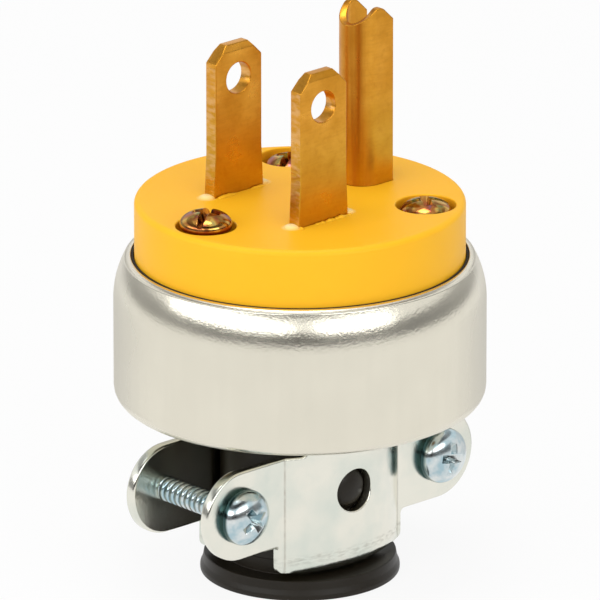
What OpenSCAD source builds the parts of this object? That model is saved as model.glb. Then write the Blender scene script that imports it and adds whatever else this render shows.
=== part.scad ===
// Grounded power plug with a steel-armoured body, standing on its cord grommet with the prongs up.
// The Z axis is the axis of the round body: the cord enters at z = 0 and the prongs point up.
// The two flat blades lie side by side along X, on the -Y side, and the ground pin is on the +Y side.
// The cord clamp closes along X, and its screws lie along X too.

/* [Flat blades] */
// Distance between the two flat blades, centre to centre
blade_pitch = 12.7; // [12:0.1:14]
// Width of a flat blade
blade_w = 6.35; // [5.5:0.05:7]
// Thickness of a flat blade
blade_t = 1.52; // [1.2:0.02:1.8]
// Length of a flat blade in front of the face
blade_len = 15.9; // [14:0.1:20]
// Corner cut on each side of a blade's tip
blade_chamfer = 1.7; // [0.8:0.1:2]
// How far each broad face is coined back at a blade's tip
blade_bevel = 0.25; // [0.1:0.05:0.4]
// Height of the coined bevel at a blade's tip
blade_bevel_h = 0.7; // [0.3:0.1:1.5]
// Diameter of the hole through a blade
blade_hole_d = 3.3; // [2.4:0.1:4]
// Height of that hole's centre above the face
blade_hole_h = 12.2; // [9:0.1:12.5]
// Distance of the blades' line from the plug's axis
blade_line = 3.3; // [2.8:0.05:3.6]

/* [Ground pin] */
// Distance from the blades' line to the centre of the ground pin's round nose
ground_offset = 11.9; // [11.2:0.1:12.6]
// Outer width of the folded ground pin
ground_d = 4.7; // [4:0.1:5.2]
// Thickness of the ground pin's sheet
ground_sheet = 0.8; // [0.6:0.05:1.1]
// Length of the ground pin's legs behind the centre of its nose
ground_leg = 2.2; // [1.5:0.1:3]
// Length of the ground pin in front of the face, to its peak
ground_len = 18.8; // [17:0.1:23]
// Drop of the tip from its peak to the nose
ground_nose_drop = 2.05; // [1:0.05:3]
// Drop of the tip from its peak to the ends of the legs
ground_leg_drop = 1.45; // [1:0.05:3]
// Radius of the rounded peak at the tip
ground_tip_r = 1; // [0.4:0.1:1.4]
// Distance of the peak behind the centre of the nose
ground_peak_back = 0.3; // [0:0.05:0.6]

/* [Face insert] */
// Diameter of the moulded insert
insert_d = 33.8; // [33.4:0.2:40]
// Height of the face above the shell's lip
face_rise = 6; // [4:0.1:9]
// Thickness of the insert's face wall
face_wall = 4; // [3.6:0.1:5.5]
// Thickness of the insert's rim wall
rim_wall = 2.1; // [1.5:0.1:2.6]
// Depth of the insert's rim below the shell's lip
rim_depth = 6; // [3:0.5:8]
// Rounding of the face's outer edge
face_edge_r = 0.6; // [0.2:0.1:1.2]
// Thickness of the two barriers beside the ground terminal
barrier_t = 1.2; // [0.8:0.1:1.4]
// Height of those barriers below the face wall
barrier_h = 5.5; // [3:0.1:6]

/* [Face screws] */
// Thread diameter of the face screws
face_screw_d = 3.5; // [3:0.1:3.8]
// Head diameter of the face screws
face_head_d = 5.4; // [5:0.1:6]
// Head height of the face screws
face_head_h = 2; // [1.4:0.1:2.4]
// Wall round each face screw in the insert's pillars
pillar_wall = 1.6; // [1.2:0.05:2]
// Angle of the two screws beside the ground pin, from the X axis
face_screw_angle = 38; // [34:1:42]
// How far a driven face screw's end passes the shell's floor
face_screw_end = 1.2; // [0.2:0.1:2]
// How far each face screw still stands out of its seat, the one between the blades first
face_screw_lifts = [1.9, 0.5, 0];
// Turn of each face screw's long slot, away from the plug's axis
face_slot_turns = [33, 20, -25];

/* [Terminals] */
// Thread diameter of the terminal screws
terminal_d = 3.5; // [3:0.1:3.8]
// Head diameter of the terminal screws
terminal_head_d = 6.2; // [5.4:0.1:6.4]
// Head height of the terminal screws
terminal_head_h = 2; // [1.4:0.1:2.4]
// How far a terminal screw's end passes its tab
terminal_end = 2.2; // [1:0.1:2.4]
// Gap between the ground pin's nose and the head of its terminal screw
ground_terminal_gap = 1.2; // [0.8:0.1:1.6]

/* [Shell] */
// Thickness of the shell's steel
shell_t = 0.8; // [0.6:0.05:1]
// Height of the shell from its floor to its lip
shell_h = 15.6; // [13:0.1:24]
// How far the shoulder bulges out beyond the lip
shoulder_out = 1.3; // [0.6:0.1:2]
// Radius of the shoulder's curve
shoulder_r = 9; // [5:0.5:12]
// Width of the lip's edge
lip_edge = 0.5; // [0.4:0.05:0.75]
// Outer radius of the shell's bottom corner
corner_r = 1.8; // [1.2:0.1:2]
// Height of the tapped collars above the shell's floor
collar_h = 1.5; // [1.3:0.1:2.5]
// Wall of the tapped collars
collar_wall = 0.9; // [0.6:0.05:1]
// Thickness of the insulating liner
liner_t = 0.25; // [0.2:0.05:0.4]

/* [Cord clamp] */
// Thickness of the clamp's steel
clamp_t = 1.2; // [0.9:0.05:1.5]
// Distance of the ears' outer faces from the axis
ear_x = 6.2; // [6:0.1:7]
// Height of an ear, which is also the diameter of its round end
ear_h = 9.5; // [8.5:0.1:11]
// Distance of the clamp screws from the axis
clamp_screw_y = 13.75; // [13.2:0.05:15.5]
// How far the saddle bulges out beyond the ears
saddle_rise = 2.2; // [1.6:0.1:2.6]
// Width of the saddle between its two creases
saddle_w = 15.7; // [14.4:0.1:16]
// Width of the skirt below the ears
skirt_w = 17; // [16.4:0.1:18.4]
// Drop of the skirt below the ears
skirt_drop = 3.65; // [2:0.05:4]
// Rounding of the skirt's lower corners
skirt_corner_r = 1.2; // [0.4:0.1:1.8]
// Width of the neck that passes up through the shell's floor
neck_w = 11; // [10:0.1:11.4]
// Gap between the ears and the shell's floor
ear_gap = 3.1; // [1.5:0.05:4]
// How far the skirt's bottom lip is turned in
lip_in = 0.9; // [0.4:0.1:1.1]
// How far the neck's top flange is turned out
flange_out = 3.4; // [3:0.1:3.6]
// Width of that flange
flange_w = 9.2; // [8:0.1:9.6]
// Diameter of the window in the middle of the saddle
window_d = 4.5; // [3:0.1:6]

/* [Clamp screws] */
// Thread diameter of the clamp screws
clamp_screw_d = 3.2; // [2.8:0.1:3.6]
// Head diameter of the clamp screws
clamp_head_d = 5.8; // [5.2:0.1:7]
// Head height of the clamp screws
clamp_head_h = 2.2; // [1.6:0.1:2.6]
// How far a clamp screw's end passes the rear ear
clamp_screw_end = 2.4; // [0.5:0.1:4]
// Turn of each clamp screw's long slot, away from the vertical
clamp_slot_turns = [-57, -10];

/* [Screw heads] */
// Height of the straight edge below a head's dome
head_edge_h = 1; // [0.6:0.1:1.2]
// Width of the driver slots
slot_w = 0.95; // [0.7:0.05:1.2]
// Depth of the driver slots
slot_depth = 1.1; // [0.6:0.1:1.3]
// Length of the short slot that makes the cross
cross_l = 3.5; // [2.5:0.1:4.2]

/* [Cord grommet] */
// Diameter of the grommet's rim
grommet_rim_d = 19.7; // [19:0.1:22]
// Height of the grommet's rim
grommet_rim_h = 2; // [1.8:0.05:3.5]
// Diameter of the bead round the foot of the rim
grommet_bead_d = 20.5; // [20:0.1:23]
// Height of that bead
grommet_bead_h = 1.1; // [0.8:0.05:1.6]
// Diameter across the grommet's neck
grommet_neck_d = 18.2; // [17:0.1:18.4]
// Height of the neck's end above the shell's floor
grommet_above = 1.5; // [1.3:0.1:4]
// Diameter of the cord bore
cord_bore_d = 9.6; // [8:0.1:10]
// Width of the bore's lead-in at the bottom
bore_lead = 0.6; // [0.2:0.1:1]

/* [Clearances] */
// Gap round a prong in its slot
slot_gap = 0.08; // [0.04:0.02:0.15]
// Gap round a screw in its tapped hole
thread_gap = 0.05; // [0.02:0.01:0.1]
// Gap round a screw in its clearance hole
hole_gap = 0.2; // [0.1:0.05:0.3]
// Gap round a screw head in its counterbore
head_gap = 0.4; // [0.2:0.05:0.5]
// Depth of a driven screw head's top below the face
head_sink = 0.3; // [0:0.05:0.6]
// Gap on each side of the insulating liner
liner_gap = 0.05; // [0.03:0.01:0.1]
// Gap between the rubber grommet and the clamp
grommet_gap = 0.2; // [0.1:0.05:0.3]
// Gap between loose neighbours inside the body
inner_gap = 0.3; // [0.2:0.05:0.4]

/* [Hidden] */
$fn = 96;
// Small overlap that lets a cut pass a face
eps = 0.1;

// Heights, from the cord end up
clamp_z0 = grommet_rim_h + grommet_gap;
ear_z = clamp_z0 + skirt_drop + ear_h / 2;
floor_z = ear_z + ear_h / 2 + ear_gap;
floor_in_z = floor_z + shell_t;
lip_z = floor_z + shell_h;
face_z = lip_z + face_rise;
tab_z = face_z - face_wall;
rim_z = lip_z - rim_depth;
collar_z = floor_in_z + collar_h;
head_seat_z = face_z - head_sink - face_head_h;
face_screw_tip_z = floor_z - face_screw_end;
grommet_top_z = floor_in_z + grommet_above;

// Radii, from the insert out to the shell
insert_r = insert_d / 2;
rim_in_r = insert_r - rim_wall;
liner_in_r = insert_r + liner_gap;
liner_out_r = liner_in_r + liner_t;
lip_in_r = liner_out_r + liner_gap;
shell_r = lip_in_r + lip_edge + shoulder_out;
shoulder_x = shell_r - shoulder_r;
shoulder_z = lip_z - sqrt(pow(shoulder_r, 2) - pow(shoulder_r - shoulder_out, 2));

// Face screws, on a circle just inside the insert's edge
pillar_r = face_screw_d / 2 + hole_gap + pillar_wall;
face_screw_r = insert_r - pillar_r - head_gap;
front_screw_angle = -90;
face_screw_angles = [front_screw_angle, face_screw_angle, 180 - face_screw_angle];
collar_r = face_screw_d / 2 + thread_gap + collar_wall;

// Prongs and their terminal tabs
blade_y = -blade_line;
ground_y = blade_y + ground_offset;
blade_reach = blade_line + blade_w / 2;
tab_end_x = sqrt(pow(rim_in_r, 2) - pow(blade_reach, 2)) - inner_gap;
terminal_x = (blade_pitch / 2 + blade_t / 2 + tab_end_x) / 2;
ground_terminal_y = ground_y - ground_d / 2 - terminal_head_d / 2 - ground_terminal_gap;
strap_end_y = ground_terminal_y - terminal_head_d / 2 - inner_gap;
barrier_x = (terminal_head_d / 2 + blade_pitch / 2 - blade_t / 2) / 2;

// Cord clamp: the saddle's arc passes through the two creases and the middle of the bulge
saddle_r = (pow(saddle_w / 2, 2) + pow(saddle_rise, 2)) / (2 * saddle_rise);
saddle_x = ear_x + saddle_rise - saddle_r;
neck_corner_x = saddle_x + sqrt(pow(saddle_r, 2) - pow(neck_w / 2, 2));
floor_hole_r = norm([neck_corner_x, neck_w / 2]) + inner_gap;
flange_corner_x = saddle_x + sqrt(pow(saddle_r + flange_out, 2) - pow(flange_w / 2, 2));
flange_reach = norm([flange_corner_x, flange_w / 2]);
liner_hole_r = flange_reach + inner_gap;
clamp_top_z = floor_in_z + clamp_t;
clamp_depth = ear_x + saddle_rise + flange_out + eps;
clamp_span = 2 * clamp_screw_y + ear_h;

// Pan-head screw standing on its tip along Z: seat at z = 0, the shank below it, the head above.
// One slot crosses the whole head and a shorter one makes the cross.
module pan_screw(thread_d, length, head_d, head_h) {
    dome_h = head_h - head_edge_h;
    dome_r = (pow(head_d / 2, 2) + pow(dome_h, 2)) / (2 * dome_h);
    difference() {
        intersection() {
            cylinder(d = head_d, h = head_h);
            translate([0, 0, head_h - dome_r]) sphere(r = dome_r);
        }
        translate([-head_d, -slot_w / 2, head_h - slot_depth]) cube([2 * head_d, slot_w, head_h]);
        translate([-slot_w / 2, -cross_l / 2, head_h - slot_depth]) cube([slot_w, cross_l, head_h]);
    }
    translate([0, 0, -length]) cylinder(d = thread_d, h = length + eps);
}

// Places its children at each of the three face screws
module at_face_screws() {
    for (angle = face_screw_angles)
        rotate([0, 0, angle]) translate([face_screw_r, 0, 0]) children();
}

// Side profile of a blade, seen along Y: a strip coined at its tip, its bend and the terminal tab
module blade_profile() {
    tip_z = face_z + blade_len;
    polygon([[-blade_t / 2, tab_z], [blade_t / 2, tab_z],
             [blade_t / 2, tip_z - blade_bevel_h], [blade_t / 2 - blade_bevel, tip_z],
             [-blade_t / 2 + blade_bevel, tip_z], [-blade_t / 2, tip_z - blade_bevel_h]]);
    intersection() {
        translate([blade_t / 2, tab_z]) circle(r = blade_t);
        translate([-blade_t / 2, tab_z - blade_t]) square([blade_t, blade_t]);
    }
    translate([blade_t / 2, tab_z - blade_t]) square([tab_end_x - blade_pitch / 2 - blade_t / 2, blade_t]);
}

// Outline of a blade's broad face, seen along X
module blade_outline() {
    tip_z = face_z + blade_len;
    low_z = tab_z - blade_t;
    half_w = blade_w / 2;
    polygon([[-half_w, low_z], [half_w, low_z], [half_w, tip_z - blade_chamfer],
             [half_w - blade_chamfer, tip_z], [blade_chamfer - half_w, tip_z],
             [-half_w, tip_z - blade_chamfer]]);
}

// One blade on the +X side, with its hole and its tapped terminal hole
module blade() {
    difference() {
        intersection() {
            translate([blade_pitch / 2, blade_y + blade_w / 2, 0]) rotate([90, 0, 0])
                linear_extrude(blade_w) blade_profile();
            translate([0, blade_y, 0]) rotate([90, 0, 90])
                linear_extrude(tab_end_x + eps) blade_outline();
        }
        translate([blade_pitch / 2 - blade_t, blade_y, face_z + blade_hole_h]) rotate([0, 90, 0])
            cylinder(d = blade_hole_d, h = 2 * blade_t);
        translate([terminal_x, blade_y, tab_z - 2 * blade_t])
            cylinder(d = terminal_d + 2 * thread_gap, h = 3 * blade_t);
    }
}

module blade_hot() {
    color("goldenrod") blade();
}

module blade_neutral() {
    color("goldenrod") mirror([1, 0, 0]) blade();
}

// U of folded sheet in plan, its nose towards -Y and open towards +Y, grown or shrunk by a gap
module ground_plan(gap) {
    outer_r = ground_d / 2 + gap;
    inner_r = ground_d / 2 - ground_sheet - gap;
    leg = ground_leg + gap;
    difference() {
        union() {
            circle(r = outer_r);
            translate([-outer_r, 0]) square([2 * outer_r, leg]);
        }
        circle(r = inner_r);
        translate([-inner_r, 0]) square([2 * inner_r, leg + ground_d]);
        translate([-ground_d, leg]) square([2 * ground_d, ground_d]);
    }
}

// Where a line from a point meets the round peak of the ground pin, behind it (side 1) or in front (side -1)
function peak_tangent(point, centre, side) =
    let (reach = point - centre,
         angle = atan2(reach.y, reach.x) + side * acos(ground_tip_r / norm(reach)))
    centre + ground_tip_r * [cos(angle), sin(angle)];

// Side outline of the ground pin, seen along X: the tip falls both ways from its round peak
module ground_side() {
    peak_z = face_z + ground_len;
    low_z = tab_z - ground_sheet;
    centre = [ground_peak_back, peak_z - ground_tip_r];
    leg_end = [ground_leg, peak_z - ground_leg_drop];
    nose_end = [-ground_d / 2, peak_z - ground_nose_drop];
    translate(centre) circle(r = ground_tip_r);
    polygon([[-ground_d / 2, low_z], [ground_leg, low_z], leg_end, peak_tangent(leg_end, centre, 1),
             peak_tangent(nose_end, centre, -1), nose_end]);
}

module ground_pin() {
    pin_h = face_z + ground_len - tab_z + ground_sheet;
    color("goldenrod") difference() {
        union() {
            translate([0, ground_y, 0]) intersection() {
                translate([0, 0, tab_z - ground_sheet]) linear_extrude(pin_h) ground_plan(0);
                translate([-ground_d, 0, 0]) rotate([90, 0, 90]) linear_extrude(2 * ground_d) ground_side();
            }
            translate([-ground_d / 2, strap_end_y, tab_z - ground_sheet])
                cube([ground_d, ground_y - strap_end_y, ground_sheet]);
        }
        translate([0, ground_terminal_y, tab_z - 2 * ground_sheet])
            cylinder(d = terminal_d + 2 * thread_gap, h = 3 * ground_sheet);
    }
}

// Terminal screw with its head down, against the underside of a tab of the given thickness
module terminal_screw(tab_t) {
    translate([0, 0, tab_z - tab_t]) mirror([0, 0, 1])
        pan_screw(terminal_d, tab_t + terminal_end, terminal_head_d, terminal_head_h);
}

module terminal_screw_hot() {
    color("gold") translate([terminal_x, blade_y, 0]) terminal_screw(blade_t);
}

module terminal_screw_neutral() {
    color("silver") translate([-terminal_x, blade_y, 0]) terminal_screw(blade_t);
}

module terminal_screw_ground() {
    color("seagreen") translate([0, ground_terminal_y, 0]) terminal_screw(ground_sheet);
}

// Section of the insert, turned round Z: face wall and rim, with the face's edge rounded
module insert_section() {
    difference() {
        union() {
            translate([0, rim_z]) square([insert_r, face_z - face_edge_r - rim_z]);
            translate([0, tab_z]) square([insert_r - face_edge_r, face_wall]);
            translate([insert_r - face_edge_r, face_z - face_edge_r]) circle(r = face_edge_r);
        }
        translate([-eps, rim_z - eps]) square([rim_in_r + eps, tab_z - rim_z + eps]);
    }
}

module face_insert() {
    slot_h = face_wall + 2 * eps;
    barrier_l = ground_y - strap_end_y;
    color("orange") difference() {
        union() {
            rotate_extrude() insert_section();
            at_face_screws() translate([0, 0, collar_z]) cylinder(r = pillar_r, h = tab_z - collar_z + eps);
            for (side = [-1, 1])
                translate([side * barrier_x - barrier_t / 2, strap_end_y, tab_z - barrier_h])
                    cube([barrier_t, barrier_l, barrier_h + eps]);
        }
        at_face_screws() {
            translate([0, 0, collar_z - eps]) cylinder(d = face_screw_d + 2 * hole_gap, h = face_z);
            translate([0, 0, head_seat_z]) cylinder(d = face_head_d + 2 * head_gap, h = face_wall);
        }
        for (side = [-1, 1]) {
            translate([side * blade_pitch / 2 - blade_t / 2 - slot_gap, blade_y - blade_w / 2 - slot_gap,
                       tab_z - eps])
                cube([blade_t + 2 * slot_gap, blade_w + 2 * slot_gap, slot_h]);
            translate([side * terminal_x, blade_y, tab_z - eps])
                cylinder(d = terminal_d + 2 * hole_gap, h = terminal_end + inner_gap + eps);
        }
        translate([0, ground_y, tab_z - eps]) linear_extrude(slot_h) ground_plan(slot_gap);
        translate([0, ground_terminal_y, tab_z - eps])
            cylinder(d = terminal_d + 2 * hole_gap, h = terminal_end + inner_gap + eps);
    }
}

// The screw between the blades is not driven home, so its head stands out of the face
module face_screws() {
    color("darkgoldenrod") for (i = [0:len(face_screw_angles) - 1])
        rotate([0, 0, face_screw_angles[i]])
            translate([face_screw_r, 0, head_seat_z + face_screw_lifts[i]]) rotate([0, 0, face_slot_turns[i]])
                pan_screw(face_screw_d, head_seat_z - face_screw_tip_z, face_head_d, face_head_h);
}

// Black fibre cup: a thin sleeve between insert and shell, and a ring on the shell's floor
module shell_liner() {
    color("black") difference() {
        translate([0, 0, floor_in_z]) cylinder(r = liner_out_r, h = lip_z - floor_in_z);
        translate([0, 0, floor_in_z + liner_t]) cylinder(r = liner_in_r, h = shell_h);
        translate([0, 0, floor_in_z - eps]) cylinder(r = liner_hole_r, h = shell_h);
        at_face_screws() translate([0, 0, floor_in_z - eps]) cylinder(r = collar_r + liner_gap, h = collar_h);
    }
}

// Right half of the shell's solid form, shrunk by a wall thickness for the inside
module shell_form(wall) {
    form_r = shell_r - wall;
    low_z = floor_z + wall;
    round_r = corner_r - wall;
    translate([0, low_z]) square([form_r - round_r, shoulder_z - low_z]);
    translate([0, low_z + round_r]) square([form_r, shoulder_z - low_z - round_r]);
    translate([form_r - round_r, low_z + round_r]) circle(r = round_r);
    intersection() {
        translate([shoulder_x, shoulder_z]) circle(r = shoulder_r - wall);
        translate([0, shoulder_z - eps]) square([shell_r, lip_z - shoulder_z + eps]);
    }
    translate([0, shoulder_z - eps]) square([lip_in_r, lip_z - shoulder_z + eps]);
}

module armor_shell() {
    color("silver") difference() {
        union() {
            rotate_extrude() difference() {
                shell_form(0);
                shell_form(shell_t);
                translate([-eps, lip_z - shell_t]) square([lip_in_r + eps, 2 * shell_t]);
                translate([-eps, floor_z - eps]) square([floor_hole_r + eps, shell_h]);
            }
            at_face_screws() translate([0, 0, floor_z]) cylinder(r = collar_r, h = collar_z - floor_z);
        }
        at_face_screws() translate([0, 0, floor_z - eps])
            cylinder(d = face_screw_d + 2 * thread_gap, h = shell_h);
    }
}

// Plan of all that lies behind the clamp's sheet: the ears' plane and the saddle's arc, moved inwards
module behind_clamp(inset) {
    translate([0, -clamp_span / 2]) square([ear_x - inset, clamp_span]);
    intersection() {
        translate([saddle_x, 0]) circle(r = saddle_r - inset);
        translate([0, -saddle_w]) square([clamp_depth, 2 * saddle_w]);
    }
}

// Plan of a bent strip between two insets, kept within a width along Y
module clamp_strip(outer, inner, width) {
    intersection() {
        difference() {
            behind_clamp(outer);
            behind_clamp(inner);
        }
        translate([0, -width / 2]) square([clamp_depth, width]);
    }
}

// Outline of a clamp half seen along X: two round-ended ears, the skirt below and the neck above
module clamp_outline() {
    translate([-clamp_screw_y, ear_z - ear_h / 2]) square([2 * clamp_screw_y, ear_h]);
    for (side = [-1, 1]) {
        translate([side * clamp_screw_y, ear_z]) circle(d = ear_h);
        translate([side * (skirt_w / 2 - skirt_corner_r), clamp_z0 + skirt_corner_r]) circle(r = skirt_corner_r);
    }
    translate([-skirt_w / 2, clamp_z0 + skirt_corner_r]) square([skirt_w, skirt_drop]);
    translate([skirt_corner_r - skirt_w / 2, clamp_z0]) square([skirt_w - 2 * skirt_corner_r, skirt_drop]);
    translate([-neck_w / 2, ear_z]) square([neck_w, clamp_top_z - ear_z]);
}

// One clamp half on the +X side, with the given holes for the clamp screws
module clamp_half(screw_hole_d) {
    difference() {
        union() {
            intersection() {
                linear_extrude(clamp_top_z) clamp_strip(0, clamp_t, clamp_span);
                rotate([90, 0, 90]) linear_extrude(clamp_depth) clamp_outline();
            }
            translate([0, 0, clamp_z0]) linear_extrude(clamp_t)
                clamp_strip(clamp_t / 2, clamp_t + lip_in, saddle_w - 2 * skirt_corner_r);
            translate([0, 0, floor_in_z]) linear_extrude(clamp_t)
                clamp_strip(-flange_out, clamp_t / 2, flange_w);
        }
        translate([0, 0, ear_z]) rotate([0, 90, 0]) cylinder(d = window_d, h = clamp_depth);
        for (side = [-1, 1])
            translate([0, side * clamp_screw_y, ear_z]) rotate([0, 90, 0])
                cylinder(d = screw_hole_d, h = clamp_depth);
    }
}

module clamp_front() {
    color("gainsboro") clamp_half(clamp_screw_d + 2 * hole_gap);
}

module clamp_rear() {
    color("gainsboro") mirror([1, 0, 0]) clamp_half(clamp_screw_d + 2 * thread_gap);
}

module clamp_screws() {
    color("lightsteelblue") for (i = [0, 1])
        translate([ear_x, (2 * i - 1) * clamp_screw_y, ear_z]) rotate([0, 90, 0])
            rotate([0, 0, clamp_slot_turns[i]])
                pan_screw(clamp_screw_d, 2 * ear_x + clamp_screw_end, clamp_head_d, clamp_head_h);
}

// Plan of the grommet between the two saddles, with an extra inset where the clamp's lips reach in
module grommet_plan(inset) {
    hold_r = saddle_r - clamp_t - grommet_gap - inset;
    intersection() {
        circle(d = grommet_neck_d);
        translate([saddle_x, 0]) circle(r = hold_r);
        translate([-saddle_x, 0]) circle(r = hold_r);
    }
}

module cord_grommet() {
    groove_top_z = clamp_z0 + clamp_t + grommet_gap;
    bead_round_r = grommet_bead_h / 2;
    bead_x = grommet_bead_d / 2 - bead_round_r;
    color("dimgray") difference() {
        union() {
            rotate_extrude() {
                square([grommet_rim_d / 2, grommet_rim_h]);
                square([bead_x, grommet_bead_h]);
                translate([bead_x, bead_round_r]) circle(r = bead_round_r);
            }
            linear_extrude(groove_top_z) grommet_plan(lip_in);
            translate([0, 0, groove_top_z]) linear_extrude(grommet_top_z - groove_top_z) grommet_plan(0);
        }
        translate([0, 0, -eps]) cylinder(d = cord_bore_d, h = grommet_top_z + 2 * eps);
        translate([0, 0, -eps]) cylinder(d1 = cord_bore_d + 2 * (bore_lead + eps), d2 = cord_bore_d,
                                         h = bore_lead + eps);
    }
}

face_insert();
blade_hot();
blade_neutral();
ground_pin();
terminal_screw_hot();
terminal_screw_neutral();
terminal_screw_ground();
face_screws();
shell_liner();
armor_shell();
clamp_front();
clamp_rear();
clamp_screws();
cord_grommet();
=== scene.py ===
import math

import bmesh
import bpy
from mathutils import Matrix, Vector, noise
from mathutils.geometry import tessellate_polygon


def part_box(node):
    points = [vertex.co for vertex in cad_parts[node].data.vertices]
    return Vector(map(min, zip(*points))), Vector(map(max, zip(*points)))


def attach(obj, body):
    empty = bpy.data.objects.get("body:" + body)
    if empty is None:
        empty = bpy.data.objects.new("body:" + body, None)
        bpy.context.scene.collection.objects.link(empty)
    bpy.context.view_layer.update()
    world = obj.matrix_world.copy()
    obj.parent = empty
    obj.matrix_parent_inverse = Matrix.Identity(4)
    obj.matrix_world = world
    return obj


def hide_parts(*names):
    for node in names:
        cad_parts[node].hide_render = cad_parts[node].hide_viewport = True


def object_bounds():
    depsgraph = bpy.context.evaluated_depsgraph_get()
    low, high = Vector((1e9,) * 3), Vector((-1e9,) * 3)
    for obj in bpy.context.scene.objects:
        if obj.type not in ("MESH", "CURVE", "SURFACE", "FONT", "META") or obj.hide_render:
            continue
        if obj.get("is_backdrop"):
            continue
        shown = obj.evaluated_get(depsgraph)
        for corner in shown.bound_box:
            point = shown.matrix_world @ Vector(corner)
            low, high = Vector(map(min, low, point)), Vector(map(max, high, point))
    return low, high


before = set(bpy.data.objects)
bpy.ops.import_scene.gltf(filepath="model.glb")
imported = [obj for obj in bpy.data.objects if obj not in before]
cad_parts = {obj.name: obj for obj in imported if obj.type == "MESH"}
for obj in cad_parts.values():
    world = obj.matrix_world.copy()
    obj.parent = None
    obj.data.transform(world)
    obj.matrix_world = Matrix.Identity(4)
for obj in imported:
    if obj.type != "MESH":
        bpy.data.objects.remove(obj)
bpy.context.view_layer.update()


# Face insert: the round yellow moulding that carries the prongs, of injection-moulded nylon.
# Three pillars under its face take the long screws, and two barriers keep the wires apart.
# It sits in the shell with its upper part standing out of the lip.

mm = 0.001
insert_low, insert_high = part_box("face_insert")
insert_r = insert_high.x
face_z = insert_high.z
pillar_foot_z = insert_low.z
lip_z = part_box("armor_shell")[1].z
face_wall = 4 * mm
rim_wall = 2.1 * mm
rim_depth = 6 * mm
face_edge_r = 0.6 * mm
pillar_r = 3.55 * mm
pillar_hole_r = 1.95 * mm
counterbore_r = 3.1 * mm
counterbore_depth = 2.3 * mm
well_edge = 0.15 * mm
barrier_wall = 1.2 * mm
barrier_depth = 5.5 * mm
barrier_x = 4.345 * mm
barrier_y = -1.45 * mm
slot_gap = 0.08 * mm
slot_bead_r = 0.85 * mm
slot_bead_h = 0.3 * mm
flash_h = 0.3 * mm
flash_w = 0.35 * mm
flash_steps = 56
rag_size = 1.5 * mm
blade_flare = 0.22 * mm
under_face_z = face_z - face_wall
seat_z = face_z - counterbore_depth
overlap = 0.5 * mm
past = 1 * mm

face_screw_circle = 12.95 * mm
face_screw_angles = [math.radians(a) for a in (-90, 38, 142)]
face_screw_places = [Vector((math.cos(a), math.sin(a))) * face_screw_circle for a in face_screw_angles]

blade_low, blade_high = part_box("blade_hot")
blade_thick = 1.52 * mm
blade_x = blade_low.x + blade_thick / 2
blade_y = (blade_low.y + blade_high.y) / 2
blade_half_w = (blade_high.y - blade_low.y) / 2

pin_low, pin_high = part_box("ground_pin")
pin_r = pin_high.x
pin_sheet = 0.8 * mm
pin_leg = 2.2 * mm
pin_y = pin_high.y - pin_leg


def rounded(corners, steps=6):
    """Closed outline through (x, y, radius) corners, each rounded to its own radius."""
    points = []
    for i, (x, y, radius) in enumerate(corners):
        here = Vector((x, y))
        before = (Vector(corners[i - 1][:2]) - here).normalized()
        after = (Vector(corners[(i + 1) % len(corners)][:2]) - here).normalized()
        if radius == 0:
            points.append(here)
            continue
        half = before.angle(after) / 2
        centre = here + (before + after).normalized() * (radius / math.sin(half))
        first = here + before * (radius / math.tan(half)) - centre
        last = here + after * (radius / math.tan(half)) - centre
        sweep = math.atan2(first.cross(last), first.dot(last))
        points += [centre + Matrix.Rotation(sweep * k / steps, 2) @ first for k in range(steps + 1)]
    return [p for i, p in enumerate(points) if (p - points[i - 1]).length > 1e-6]


def turned(profile, at=(0, 0), steps=128):
    """Closed mesh of a (radius, height) profile turned round a vertical axis."""
    mesh = bmesh.new()
    rings = []
    for radius, height in profile:
        if radius < 1e-7:
            rings.append([mesh.verts.new((at[0], at[1], height))] * steps)
        else:
            spokes = [math.tau * i / steps for i in range(steps)]
            rings.append([mesh.verts.new((at[0] + radius * math.cos(a), at[1] + radius * math.sin(a), height))
                          for a in spokes])
    for ring, above in zip(rings, rings[1:] + rings[:1]):
        for i in range(steps):
            j = (i + 1) % steps
            corners = list(dict.fromkeys([ring[i], ring[j], above[j], above[i]]))
            if len(corners) > 2:
                mesh.faces.new(corners)
    bmesh.ops.recalc_face_normals(mesh, faces=mesh.faces)
    poles = [ring[0] for ring in rings if ring[0] is ring[1]]
    level = [v for v in poles if all(abs(f.normal.z) > 0.9999 for f in v.link_faces)]
    bmesh.ops.dissolve_verts(mesh, verts=level)
    return mesh


def rod(radius, low, high, at):
    """Closed upright cylinder between two heights."""
    return turned([(0, low), (radius, low), (radius, high), (0, high)], at, 48)


def lens(radius, half_h, step, steps):
    """Closed flattened ball, with a point of its profile every so many degrees."""
    return turned([(radius * math.cos(math.radians(a)), half_h * math.sin(math.radians(a)))
                   for a in range(-90, 91, step)], steps=steps)


def block(low, high, taper=(1, 1)):
    """Closed box between two corners; its low end is narrowed by the taper along X and Y."""
    mesh = bmesh.new()
    bmesh.ops.create_cube(mesh, size=1)
    low, high = Vector(low), Vector(high)
    for v in mesh.verts:
        reach = Vector((v.co.x * taper[0], v.co.y * taper[1], v.co.z)) if v.co.z < 0 else v.co
        v.co = (low + high) / 2 + reach * (high - low)
    return mesh


def piece_from(name, *meshes):
    """One object that holds the given closed meshes, shaded smooth."""
    joined = bmesh.new()
    for mesh in meshes:
        data = bpy.data.meshes.new(name)
        mesh.to_mesh(data)
        mesh.free()
        joined.from_mesh(data)
        bpy.data.meshes.remove(data)
    data = bpy.data.meshes.new(name)
    joined.to_mesh(data)
    joined.free()
    data.shade_smooth()
    if "outward" in data.attributes:
        data.normals_split_custom_set_from_vertices([v.vector for v in data.attributes["outward"].data])
        data.attributes.remove(data.attributes["outward"])
    made = bpy.data.objects.new(name, data)
    bpy.context.scene.collection.objects.link(made)
    return made


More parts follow.
